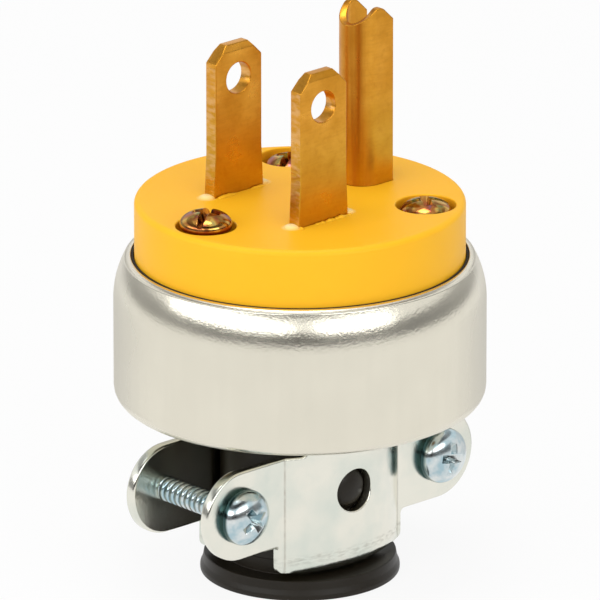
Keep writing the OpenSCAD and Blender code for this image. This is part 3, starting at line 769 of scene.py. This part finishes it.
# Zinc plate on drawn steel: pale, warm and satin. A fine peel breaks the edges of its highlights,
# with faint upright stains and the rings left from drawing. The peel is drawn at 0.3 mm, coarser than life,
# so that it shows.
satin_zinc, tree = new_material("satin zinc plate")
place = add(tree, "ShaderNodeTexCoord").outputs["Object"]
cloud = add(tree, "ShaderNodeTexNoise", {"Vector": place, "Scale": 1 / (7 * mm), "Detail": 4})
peel = add(tree, "ShaderNodeTexNoise", {"Vector": place, "Scale": 1 / (0.3 * mm), "Detail": 2})
drawn = add(tree, "ShaderNodeMapping", {"Vector": place, "Scale": (0.06, 0.06, 1)})
rings = add(tree, "ShaderNodeTexNoise", {"Vector": drawn, "Scale": 1 / (0.5 * mm), "Detail": 3})
upright = add(tree, "ShaderNodeMapping", {"Vector": place, "Scale": (1, 1, 0.06)})
streaks = add(tree, "ShaderNodeTexNoise", {"Vector": upright, "Scale": 1 / (1.1 * mm), "Detail": 5})
stained = add(tree, "ShaderNodeMapRange", {"Value": streaks, "From Min": 0.35, "From Max": 0.7, "To Max": 0.45})
tint = add(tree, "ShaderNodeMix", {"Factor": cloud, 6: colour("#E8E3D3"), 7: colour("#E0DBCB")}, data_type="RGBA")
tint = add(tree, "ShaderNodeMix", {"Factor": stained, 6: tint, 7: colour("#E0DBCB")}, data_type="RGBA")
gloss = add(tree, "ShaderNodeMapRange", {"Value": cloud, "From Min": 0.3, "From Max": 0.7,
                                          "To Min": 0.2, "To Max": 0.26})
grazing = add(tree, "ShaderNodeLayerWeight", {"Blend": 0.5}).outputs["Facing"]
hazy = add(tree, "ShaderNodeMapRange", {"Value": grazing, "From Min": 0.5, "From Max": 0.95, "To Max": 0.16})
gloss = add(tree, "ShaderNodeMath", {0: gloss, 1: hazy}, operation="ADD")
relief = add(tree, "ShaderNodeBump", {"Height": peel, "Distance": 0.022 * mm, "Strength": 0.7})
relief = add(tree, "ShaderNodeBump", {"Height": rings, "Distance": 0.006 * mm, "Strength": 0.3, "Normal": relief})
shader = add(tree, "ShaderNodeBsdfPrincipled", {
    "Base Color": tint, "Metallic": 1, "Roughness": gloss, "Normal": relief})
add(tree, "ShaderNodeOutputMaterial", {"Surface": shader})

armor_shell.data.materials.append(satin_zinc)
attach(armor_shell, "root")
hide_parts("armor_shell")


# Liner: a thin cup of black fibre sheet that keeps the wires off the steel.
# It lines the shell's wall up to the lip and the floor round the clamp's flanges.

liner_low, liner_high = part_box("shell_liner")
liner_r = liner_high.x
liner_sheet = 0.25 * mm
liner_floor_z = liner_low.z
liner_hole_r = 12.43 * mm
collar_gap = 0.05 * mm
liner_profile = rounded([
    (liner_hole_r, liner_floor_z, 0), (liner_r, liner_floor_z, 0.2 * mm), (liner_r, liner_high.z, 0.1 * mm),
    (liner_r - liner_sheet, liner_high.z, 0.1 * mm), (liner_r - liner_sheet, liner_floor_z + liner_sheet, 0.1 * mm),
    (liner_hole_r, liner_floor_z + liner_sheet, 0)])
shell_liner = piece_from("shell_liner", turned(liner_profile, steps=128))
clearances = [rod(collar_r + collar_gap, liner_floor_z - past, liner_floor_z + past, p) for p in face_screw_places]
combine(shell_liner, piece_from("collar clearances", *clearances), "DIFFERENCE")
soften(shell_liner, 0)

# Vulcanised fibre: dull black sheet with a faint felted grain.
fibre = clouded("black fibre sheet", 0.4 * mm, 4, ("#0F0E0D", "#1C1A17"), (0.7, 0.9), {"IOR": 1.5})
shell_liner.data.materials.append(fibre)
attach(shell_liner, "root")
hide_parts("shell_liner")


# Face screws: three long pan-head screws that pull the insert down into the shell, plated with zinc and
# a yellow chromate. The one between the blades is not driven home, and its head stands on the face.

face_screw_d = 3.5 * mm
face_head_d = 5.4 * mm
face_head_h = 2 * mm
face_pitch = 0.8 * mm
face_screw_l = seat_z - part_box("face_screws")[0].z
screw_lifts = [1.9 * mm, 0.9 * mm, 0.6 * mm]
slot_turns = [math.radians(a) for a in (33, 20, -25)]

# Yellow chromate: a thin clear film on zinc that shows gold, bronze, green and violet in patches.
chromate, tree = new_material("yellow chromate on zinc")
place = add(tree, "ShaderNodeTexCoord").outputs["Object"]
drift = add(tree, "ShaderNodeTexNoise", {"Vector": place, "Scale": 1 / (1.6 * mm), "Detail": 2, "Distortion": 0.6})
specks = add(tree, "ShaderNodeTexNoise", {"Vector": place, "Scale": 1 / (0.5 * mm), "Detail": 3})
film = add(tree, "ShaderNodeValToRGB", {"Fac": drift})
film.color_ramp.elements[0].position, film.color_ramp.elements[0].color = 0.3, colour("#8C9A68")
film.color_ramp.elements[1].position, film.color_ramp.elements[1].color = 0.7, colour("#8A6474")
for position, code in ((0.42, "#CDA654"), (0.5, "#B07C3A"), (0.6, "#9A5234")):
    film.color_ramp.elements.new(position).color = colour(code)
gloss = add(tree, "ShaderNodeMapRange", {"Value": specks, "To Min": 0.09, "To Max": 0.2})
shader = add(tree, "ShaderNodeBsdfPrincipled", {"Base Color": film, "Metallic": 1, "Roughness": gloss})
add(tree, "ShaderNodeOutputMaterial", {"Surface": shader})

driven = []
for spot, angle, turn, lift in zip(face_screw_places, face_screw_angles, slot_turns, screw_lifts):
    seat = Vector((spot.x, spot.y, seat_z + lift))
    driven.append(screw(face_screw_d, face_pitch, face_screw_l, face_head_d, face_head_h, 2 * face_head_d, (1, 0.4),
                        Matrix.Translation(seat) @ Matrix.Rotation(angle + turn, 4, "Z"), chromate))
face_screws = gather("face_screws", driven)
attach(face_screws, "root")
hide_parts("face_screws")


# Cord grommet: a rubber bush that the clamp squeezes on the cord, with a rim below the clamp's lips and a
# groove that they reach into. It bulges a little into the clamp's windows, and the plug stands on it.

grommet_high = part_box("cord_grommet")[1]
clamp_low, clamp_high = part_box("clamp_front")
rim_r = 9.85 * mm
rim_h = 2 * mm
bead_r = grommet_high.x
bead_h = 1.1 * mm
neck_r = 8.2 * mm
bore_r = 4.8 * mm
bore_lead = 0.6 * mm
groove_in = 0.9 * mm
clamp_sheet = 1.2 * mm
clamp_z = clamp_low.z
ear_x = 6.2 * mm
saddle_rise = 2.2 * mm
saddle_half_w = 7.85 * mm
saddle_r = (saddle_half_w ** 2 + saddle_rise ** 2) / (2 * saddle_rise)
saddle_x = ear_x + saddle_rise - saddle_r
hold_r = saddle_r - clamp_sheet - 0.2 * mm
ear_h = 9.5 * mm
skirt_drop = 3.65 * mm
window_z = clamp_z + skirt_drop + ear_h / 2
bulge_r = 2.1 * mm
bulge_h = 1.05 * mm


def bush_outline(shrink, steps=144):
    """The grommet's plan: a circle flattened by the two saddles, made smaller by an inset."""
    points = []
    for i in range(steps):
        c, s = math.cos(math.tau * i / steps), math.sin(math.tau * i / steps)
        saddle = saddle_x * abs(c) + math.sqrt((hold_r - shrink) ** 2 - (saddle_x * s) ** 2)
        reach = min(neck_r - shrink * 0.3, saddle)
        points.append((reach * c, reach * s))
    return points


def round_outline(radius, steps=144):
    """A circle with as many points as the bush's plan."""
    return [(radius * math.cos(math.tau * i / steps), radius * math.sin(math.tau * i / steps)) for i in range(steps)]


def loft(sections):
    """Closed ring of skin through (height, outline) sections with the same number of points."""
    mesh = bmesh.new()
    rings = [[mesh.verts.new((x, y, z)) for x, y in outline] for z, outline in sections]
    for low, high in zip(rings, rings[1:] + rings[:1]):
        for i in range(len(low)):
            mesh.faces.new((low[i - 1], low[i], high[i], high[i - 1]))
    bmesh.ops.recalc_face_normals(mesh, faces=mesh.faces)
    return mesh


groove_top_z = clamp_z + clamp_sheet + 0.2 * mm
top_z = grommet_high.z
rim_profile = rounded([
    (bore_r + bore_lead, 0, 0.1 * mm), (bead_r, 0, 0.2 * mm), (bead_r, 0.5 * bead_h, 0.5 * mm),
    (rim_r + 0.15 * mm, bead_h, 0.8 * mm), (rim_r, rim_h, 0.15 * mm), (rim_r - 1 * mm, rim_h, 0),
    (bore_r, bore_lead, 0)])[:-1]
sections = [(z, round_outline(r)) for r, z in rim_profile]
sections += [(rim_h, bush_outline(groove_in)), (rim_h + 0.1 * mm, bush_outline(groove_in)),
             (groove_top_z - 0.1 * mm, bush_outline(groove_in)), (groove_top_z, bush_outline(groove_in - 0.1 * mm)),
             (groove_top_z, bush_outline(0.15 * mm)), (groove_top_z + 0.05 * mm, bush_outline(0.05 * mm))]
rows = 12
sections += [(groove_top_z + 0.15 * mm + (top_z - 0.65 * mm - groove_top_z) * k / rows, bush_outline(0))
             for k in range(rows + 1)]
sections += [(top_z - 0.15 * mm, bush_outline(0.15 * mm)), (top_z, bush_outline(0.5 * mm))]
sections += [(top_z, round_outline(bore_r + 0.2 * mm)), (top_z - 0.2 * mm, round_outline(bore_r))]
sections += [(bore_lead + (top_z - 0.4 * mm - bore_lead) * k / rows, round_outline(bore_r))
             for k in range(rows, -1, -1)]
bulges = []
for side in (-1, 1):
    bulge = lens(bulge_r, bulge_h, 6, 48)
    bmesh.ops.rotate(bulge, matrix=Matrix.Rotation(side * math.pi / 2, 3, "Y"), verts=bulge.verts)
    bmesh.ops.translate(bulge, vec=(side * (saddle_x + hold_r), 0, window_z), verts=bulge.verts)
    bulges.append(bulge)
cord_grommet = piece_from("cord_grommet", loft(sections), *bulges)
soften(cord_grommet, 0)

# Moulded rubber: brown-black and dull, with a faint dusty bloom and a soft skin texture.
rubber, tree = new_material("moulded black rubber")
place = add(tree, "ShaderNodeTexCoord").outputs["Object"]
bloom = add(tree, "ShaderNodeTexNoise", {"Vector": place, "Scale": 1 / (3 * mm), "Detail": 4})
skin = add(tree, "ShaderNodeTexNoise", {"Vector": place, "Scale": 1 / (0.25 * mm), "Detail": 2})
tint = add(tree, "ShaderNodeMix", {"Factor": bloom, 6: colour("#18140C"), 7: colour("#221C12")}, data_type="RGBA")
gloss = add(tree, "ShaderNodeMapRange", {"Value": bloom, "To Min": 0.34, "To Max": 0.48})
relief = add(tree, "ShaderNodeBump", {"Height": skin, "Distance": 0.01 * mm, "Strength": 0.5})
shader = add(tree, "ShaderNodeBsdfPrincipled", {
    "Base Color": tint, "Roughness": gloss, "IOR": 1.52, "Specular IOR Level": 0.25, "Normal": relief})
add(tree, "ShaderNodeOutputMaterial", {"Surface": shader})

cord_grommet.data.materials.append(rubber)
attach(cord_grommet, "root")
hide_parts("cord_grommet")


# Cord clamp: two halves stamped from steel sheet. Each has a curved saddle with a window, flat ears for the
# screws, a skirt turned in at the foot, and a neck that hooks over the edge of the shell's floor.

ear_y = 13.75 * mm
ear_z = window_z
skirt_half_w = 8.5 * mm
lip_in = 0.9 * mm
lip_back = 1.2 * mm
fold_fade = 1 * mm
neck_half_w = 5.5 * mm
flange_half_w = 4.6 * mm
flange_out = clamp_high.x - ear_x - saddle_rise
window_r = 2.25 * mm
clear_hole_r = 1.8 * mm
tapped_hole_r = 1.3 * mm
crease_r = 0.85 * mm
fold_r = clamp_sheet / 2 + 0.25 * mm
stamped_edge = 0.32 * mm

# Plan of a half, along the middle of its sheet: ear, crease, saddle, crease, ear.
sheet_x = ear_x - clamp_sheet / 2
saddle_mid_r = saddle_r - clamp_sheet / 2
crease_y = math.sqrt((saddle_mid_r + crease_r) ** 2 - (sheet_x + crease_r - saddle_x) ** 2)
crease_turn = math.atan2(crease_y, sheet_x + crease_r - saddle_x)
ear_run = ear_y + ear_h / 2 - crease_y
crease_u = crease_turn * saddle_mid_r
crease_run = crease_turn * crease_r
bow_run = crease_u + crease_run
plan_track = track([(ear_run, 0), (crease_run, -crease_turn), (2 * crease_u, 2 * crease_turn),
                    (crease_run, -crease_turn), (ear_run, 0)], (sheet_x, -ear_y - ear_h / 2), math.pi / 2)

# Side of a half, along the middle of its sheet: lip, fold, wall, fold, flange.
lip_run = lip_in + clamp_sheet / 2 - fold_r
fold_run = fold_r * math.pi / 2
wall_foot_z = clamp_z + clamp_sheet / 2 + fold_r
wall_top_z = floor_z + shell_sheet + clamp_sheet / 2 - fold_r
wall_run = lip_run + fold_run
flange_run = wall_run + wall_top_z - wall_foot_z + fold_run
flange_end = flange_run + flange_out - fold_r + clamp_sheet / 2
side_track = track([(lip_run, 0), (fold_run, math.pi / 2), (wall_top_z - wall_foot_z, 0), (fold_run, -math.pi / 2),
                    (flange_end - flange_run, 0)], (-lip_run - fold_r, wall_foot_z - fold_r), 0)


def shape_clamp(u, v, w, side):
    """Bends a clamp half's blank: u along its plan, v from the lip to the flange, w outwards.

    The lip's fold fades out before the creases, and the ends of the skirt are plain."""
    rise, inward = side_track(v)
    fade = min(1, max(0, 1 - (crease_u - abs(u)) / fold_fade))
    if v < wall_run and fade > 0:
        fade *= fade * (3 - 2 * fade)
        rise = rise.lerp(Vector((0, wall_foot_z - wall_run + v)), fade)
        inward = inward.lerp(Vector((-1, 0)), fade).normalized()
    spot, left = plan_track(u + ear_run + bow_run)
    away = rise.x - inward.x * w
    return Vector(((spot.x - left.x * away) * side, spot.y - left.y * away, rise.y - inward.y * w))


def up(z):
    """Run along the blank at a height on the clamp's wall."""
    return wall_run + z - wall_foot_z


ear_end = ear_run + bow_run
skirt_u = bow_run + skirt_half_w - crease_y
neck_u = saddle_mid_r * math.asin(neck_half_w / saddle_mid_r)
flange_u = saddle_mid_r * math.asin(flange_half_w / saddle_mid_r)
screw_u = bow_run + ear_y - crease_y
skirt_end_z = clamp_z + 0.55 * mm
half_outline = [(crease_u - lip_back - 1.8 * mm, 0, 2 * mm), (crease_u - lip_back, up(skirt_end_z), 2 * mm),
                (skirt_u, up(skirt_end_z), 0.8 * mm), (skirt_u, up(ear_z - ear_h / 2), 0.5 * mm),
                (ear_end, up(ear_z - ear_h / 2), ear_h / 2), (ear_end, up(ear_z + ear_h / 2), ear_h / 2),
                (neck_u, up(ear_z + ear_h / 2), 0.6 * mm), (neck_u, flange_run - fold_run, 0.8 * mm),
                (flange_u, flange_run, 0.8 * mm), (flange_u, flange_end, 1 * mm)]
clamp_outline = rounded(half_outline + [(-u, v, r) for u, v, r in reversed(half_outline)], steps=16)
clamp_cuts = [("u", -crease_u + crease_u * k / 24) for k in range(49)]
clamp_cuts += [("u", side * (crease_u + crease_run * k / 6)) for side in (-1, 1) for k in range(1, 7)]
clamp_cuts += [("u", side * (crease_u - fold_fade * k / 10)) for side in (-1, 1) for k in range(1, 11)]
clamp_cuts += [("v", lip_run + fold_run * k / 6) for k in range(7)]
clamp_cuts += [("v", flange_run - fold_run * k / 6) for k in range(7)]
clamp_halves = {}
for node, side, hole_r in (("clamp_front", 1, clear_hole_r), ("clamp_rear", -1, tapped_hole_r)):
    loops = [(clamp_outline, stamped_edge), (ring(0, up(ear_z), window_r, 56), 0.15 * mm),
             (ring(screw_u, up(ear_z), hole_r), 0.06 * mm), (ring(-screw_u, up(ear_z), hole_r), 0.06 * mm)]
    blank = sheet(loops, clamp_sheet, clamp_cuts, lambda u, v, w: shape_clamp(u, v, w, side))
    clamp_halves[node] = piece_from(node, blank)

# Bright zinc plate: smoother and cooler than the shell, with blue-green passivation in soft patches. A thin dark
# line of painted shade runs along each crease, and the die has left drag marks and scuffs at the fold of the skirt.
bright_zinc, tree = new_material("bright zinc plate")
place = add(tree, "ShaderNodeTexCoord").outputs["Object"]
cloud = add(tree, "ShaderNodeTexNoise", {"Vector": place, "Scale": 1 / (5 * mm), "Detail": 4})
peel = add(tree, "ShaderNodeTexNoise", {"Vector": place, "Scale": 1 / (0.35 * mm), "Detail": 3})
patches = add(tree, "ShaderNodeMapRange", {"Value": cloud, "From Min": 0.38, "From Max": 0.66})
tint = add(tree, "ShaderNodeMix", {"Factor": patches, 6: colour("#E9E7DB"), 7: colour("#D9DED4")}, data_type="RGBA")
gloss = add(tree, "ShaderNodeMapRange", {"Value": cloud, "From Min": 0.3, "From Max": 0.7,
                                          "To Min": 0.16, "To Max": 0.26})
axes = add(tree, "ShaderNodeSeparateXYZ", {"Vector": place}).outputs
foot = add(tree, "ShaderNodeMapRange", {"Value": axes["Z"], "From Min": clamp_z + 2.6 * mm,
                                         "From Max": clamp_z + 1.7 * mm})
drag = add(tree, "ShaderNodeTexNoise", {"Vector": place, "Scale": 1 / (0.6 * mm), "Detail": 4})
dragged = add(tree, "ShaderNodeMath", {0: drag, 1: foot}, operation="MULTIPLY")
to_fold = add(tree, "ShaderNodeMath", {0: axes["Z"], 1: clamp_z + 1.95 * mm}, operation="SUBTRACT")
to_fold = add(tree, "ShaderNodeMath", {0: to_fold}, operation="ABSOLUTE")
band = add(tree, "ShaderNodeMapRange", {"Value": to_fold, "From Min": 0.65 * mm, "From Max": 0.2 * mm})
level = add(tree, "ShaderNodeMapping", {"Vector": place, "Scale": (0.3, 0.3, 1)})
scuffs = add(tree, "ShaderNodeTexNoise", {"Vector": level, "Scale": 1 / (0.3 * mm), "Detail": 3})
scuffs = add(tree, "ShaderNodeMapRange", {"Value": scuffs, "From Min": 0.42, "From Max": 0.8, "To Max": 0.55})
scuffed = add(tree, "ShaderNodeMath", {0: scuffs, 1: band}, operation="MULTIPLY")
# Painted shade: a thin darker line along each crease.
to_crease = add(tree, "ShaderNodeMath", {0: axes["Y"]}, operation="ABSOLUTE")
to_crease = add(tree, "ShaderNodeMath", {0: to_crease, 1: saddle_half_w}, operation="SUBTRACT")
to_crease = add(tree, "ShaderNodeMath", {0: to_crease}, operation="ABSOLUTE")
line = add(tree, "ShaderNodeMapRange", {"Value": to_crease, "From Min": 0.16 * mm, "From Max": 0.05 * mm})
crease_shade_line = add(tree, "ShaderNodeMath", {0: line, 1: drag}, operation="MULTIPLY")
for share, code in ((scuffed, "#8F8A7C"), (crease_shade_line, "#B2ACA0")):
    tint = add(tree, "ShaderNodeMix", {"Factor": share, 6: tint, 7: colour(code)}, data_type="RGBA")
relief = add(tree, "ShaderNodeBump", {"Height": peel, "Distance": 0.012 * mm, "Strength": 0.5})
relief = add(tree, "ShaderNodeBump", {"Height": dragged, "Distance": 0.08 * mm, "Strength": 0.45, "Normal": relief})
shader = add(tree, "ShaderNodeBsdfPrincipled", {
    "Base Color": tint, "Metallic": 1, "Roughness": gloss, "Normal": relief})
add(tree, "ShaderNodeOutputMaterial", {"Surface": shader})

for node, half in clamp_halves.items():
    half.data.materials.append(bright_zinc)
    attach(half, "root")
    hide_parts(node)


# Clamp screws: two long pan-head screws through the ears, tapped into the rear half. They are zinc-plated
# and a little bluer than the clamp.

clamp_screw_d = 3.2 * mm
clamp_head_d = 5.8 * mm
clamp_head_h = 2.2 * mm
clamp_slot_l = 4.8 * mm
clamp_pitch = 0.75 * mm
clamp_screw_l = ear_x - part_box("clamp_screws")[0].x
clamp_turns = [math.radians(a) for a in (-57, -10)]

# Blue zinc plate on steel screws: bright, with a cold tint that drifts over each screw, and painted shade, dark
# teal, round the foot of the head where it sits on the ear.
blue_zinc, tree = new_material("blue zinc plate")
place = add(tree, "ShaderNodeTexCoord").outputs["Object"]
cloud = add(tree, "ShaderNodeTexNoise", {"Vector": place, "Scale": 1 / (1.4 * mm), "Detail": 3})
patches = add(tree, "ShaderNodeMapRange", {"Value": cloud, "From Min": 0.35, "From Max": 0.65})
tint = add(tree, "ShaderNodeMix", {"Factor": patches, 6: colour("#DCE1E0"), 7: colour("#A9C3CC")}, data_type="RGBA")
# Painted shade: dark teal round the foot of the head, where the head meets the ear.
out = add(tree, "ShaderNodeSeparateXYZ", {"Vector": place}).outputs["X"]
to_seat = add(tree, "ShaderNodeMath", {0: out, 1: ear_x + 0.2 * mm}, operation="SUBTRACT")
to_seat = add(tree, "ShaderNodeMath", {0: to_seat}, operation="ABSOLUTE")
seat_shade = add(tree, "ShaderNodeMapRange", {"Value": to_seat, "From Min": 0.75 * mm, "From Max": 0.45 * mm})
tint = add(tree, "ShaderNodeMix", {"Factor": seat_shade, 6: tint, 7: colour("#3F5C60")}, data_type="RGBA")
gloss = add(tree, "ShaderNodeMapRange", {"Value": cloud, "To Min": 0.12, "To Max": 0.24})
shader = add(tree, "ShaderNodeBsdfPrincipled", {"Base Color": tint, "Metallic": 1, "Roughness": gloss})
add(tree, "ShaderNodeOutputMaterial", {"Surface": shader})

clamping = []
for side, turn in zip((-1, 1), clamp_turns):
    seat = Matrix.Translation((ear_x, side * ear_y, ear_z)) @ Matrix.Rotation(math.pi / 2, 4, "Y")
    clamping.append(screw(clamp_screw_d, clamp_pitch, clamp_screw_l, clamp_head_d, clamp_head_h, clamp_slot_l,
                          (0.25, 0.25), seat @ Matrix.Rotation(turn, 4, "Z"), blue_zinc))
clamp_screws = gather("clamp_screws", clamping)
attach(clamp_screws, "root")
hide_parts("clamp_screws")


# Studio: a white floor and background, with soft lights on the left, on the right and above. A dark skirting and
# hood round the stage, and a graded grey card behind the plug, show only in the metal and give it its dark edges.

scene = bpy.context.scene
scene.view_settings.view_transform = "Standard"


def shown(tree):
    """1 on the rays that show the white itself: from the camera, off gloss and through glass."""
    path = add(tree, "ShaderNodeLightPath").outputs
    seen = add(tree, "ShaderNodeMath", {0: path["Is Camera Ray"], 1: path["Is Glossy Ray"]}, operation="MAXIMUM")
    return add(tree, "ShaderNodeMath", {0: seen, 1: path["Is Transmission Ray"]}, operation="MAXIMUM")


floor_size = 4
floor_mesh = bmesh.new()
bmesh.ops.create_grid(floor_mesh, x_segments=1, y_segments=1, size=floor_size / 2)
bmesh.ops.translate(floor_mesh, vec=(0, 0, -0.02 * mm), verts=floor_mesh.verts)
floor = piece_from("floor", floor_mesh)
paper, tree = new_material("white studio paper")
seen = shown(tree)
share = add(tree, "ShaderNodeMath", {0: seen, 1: 0.9}, operation="MULTIPLY")
matt = add(tree, "ShaderNodeBsdfDiffuse", {"Color": (0.82, 0.82, 0.82, 1)})
glow = add(tree, "ShaderNodeEmission", {"Color": (1, 1, 1, 1), "Strength": 1})
mixed = add(tree, "ShaderNodeMixShader", {0: share, 1: matt, 2: glow})
add(tree, "ShaderNodeOutputMaterial", {"Surface": mixed})
floor.data.materials.append(paper)
floor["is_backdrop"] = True

skirting_r = 0.45
skirting_h = 0.132
hood_low, hood_high = 0.33, 0.66
view_azimuth, view_elevation = 47.3, 19.2
skirting = piece_from("skirting and hood", *[
    turned([(skirting_r, low), (skirting_r, high), (skirting_r + 0.01, high), (skirting_r + 0.01, low)], steps=96)
    for low, high in ((0, skirting_h), (hood_low, hood_high))])
dark_cloth, tree = new_material("dark stage cloth")
place = add(tree, "ShaderNodeTexCoord").outputs["Object"]
front = (math.sin(math.radians(view_azimuth)), -math.cos(math.radians(view_azimuth)), 0)
ahead = add(tree, "ShaderNodeVectorMath", {0: place, 1: front}, operation="DOT_PRODUCT")
away = add(tree, "ShaderNodeMapRange", {"Value": ahead, "From Min": skirting_r, "From Max": -0.75 * skirting_r})
tint = add(tree, "ShaderNodeMix", {"Factor": away, 6: colour("#161616"), 7: colour("#BCBCBC")}, data_type="RGBA")
cloth = add(tree, "ShaderNodeBsdfDiffuse", {"Color": tint})
add(tree, "ShaderNodeOutputMaterial", {"Surface": cloth})
skirting.data.materials.append(dark_cloth)
skirting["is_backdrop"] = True

flag_r, flag_h, flag_steps = 45 * mm, 23 * mm, 48
flag_mesh = bmesh.new()
posts = []
for k in range(flag_steps + 1):
    a = math.radians(view_azimuth + 90 + 180 * k / flag_steps)
    posts.append([flag_mesh.verts.new((flag_r * math.sin(a), -flag_r * math.cos(a), z)) for z in (0, flag_h)])
for post, after in zip(posts, posts[1:]):
    flag_mesh.faces.new((post[0], after[0], after[1], post[1]))
flag = piece_from("grey flag", flag_mesh)
card, tree = new_material("graded grey card")
place = add(tree, "ShaderNodeTexCoord").outputs["Object"]
ahead = add(tree, "ShaderNodeVectorMath", {0: place, 1: front}, operation="DOT_PRODUCT")
level = add(tree, "ShaderNodeMapRange", {"Value": ahead, "From Min": 0, "From Max": -flag_r, "To Min": 0.97,
                                          "To Max": 0.6})
glow = add(tree, "ShaderNodeEmission", {"Color": (1, 1, 1, 1), "Strength": level})
add(tree, "ShaderNodeOutputMaterial", {"Surface": glow})
flag.data.materials.append(card)
flag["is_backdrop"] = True

for card_or_ring in (skirting, flag):
    card_or_ring.visible_camera = False
    card_or_ring.visible_diffuse = False
    card_or_ring.visible_shadow = False

world = bpy.data.worlds.new("studio")
world.use_nodes = True
tree = world.node_tree
tree.nodes.clear()
seen = shown(tree)
level = add(tree, "ShaderNodeMapRange", {"Value": seen, "To Min": 0.55, "To Max": 1})
sky = add(tree, "ShaderNodeBackground", {"Color": (1, 1, 1, 1), "Strength": level})
add(tree, "ShaderNodeOutputWorld", {"Surface": sky})
scene.world = world


def from_plug(azimuth, elevation, distance):
    """Place seen from the plug at an azimuth from -Y towards +X, an elevation and a distance."""
    a, e = math.radians(azimuth), math.radians(elevation)
    return Vector((math.sin(a) * math.cos(e), -math.cos(a) * math.cos(e), math.sin(e))) * distance


middle = Vector((0, 0, 29 * mm))
for name, azimuth, elevation, distance, width, height, power in (
        ("left softbox", 0, 19, 0.8, 1.3, 0.3, 3.1), ("right softbox", 82, 18, 0.8, 0.65, 0.26, 1.6),
        ("top softbox", 0, 85, 0.8, 0.4, 0.4, 2.4)):
    lamp = bpy.data.lights.new(name, "AREA")
    lamp.shape = "RECTANGLE"
    lamp.size, lamp.size_y, lamp.energy = width, height, power
    holder = bpy.data.objects.new(name, lamp)
    holder.location = middle + from_plug(azimuth, elevation, distance)
    holder.rotation_euler = (middle - holder.location).to_track_quat("-Z", "Y").to_euler()
    scene.collection.objects.link(holder)

# Camera: the photograph's view, from a long way off with a long lens.
view_distance = 1.45
view_height = 61.2 * mm
camera = bpy.data.cameras.new("camera")
camera.lens = camera.sensor_width * view_distance / view_height
camera.clip_end = 10
eye = bpy.data.objects.new("camera", camera)
eye.location = middle + from_plug(view_azimuth, view_elevation, view_distance)
eye.rotation_euler = (middle - eye.location).to_track_quat("-Z", "Y").to_euler()
scene.collection.objects.link(eye)
scene.camera = eye

low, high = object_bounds()
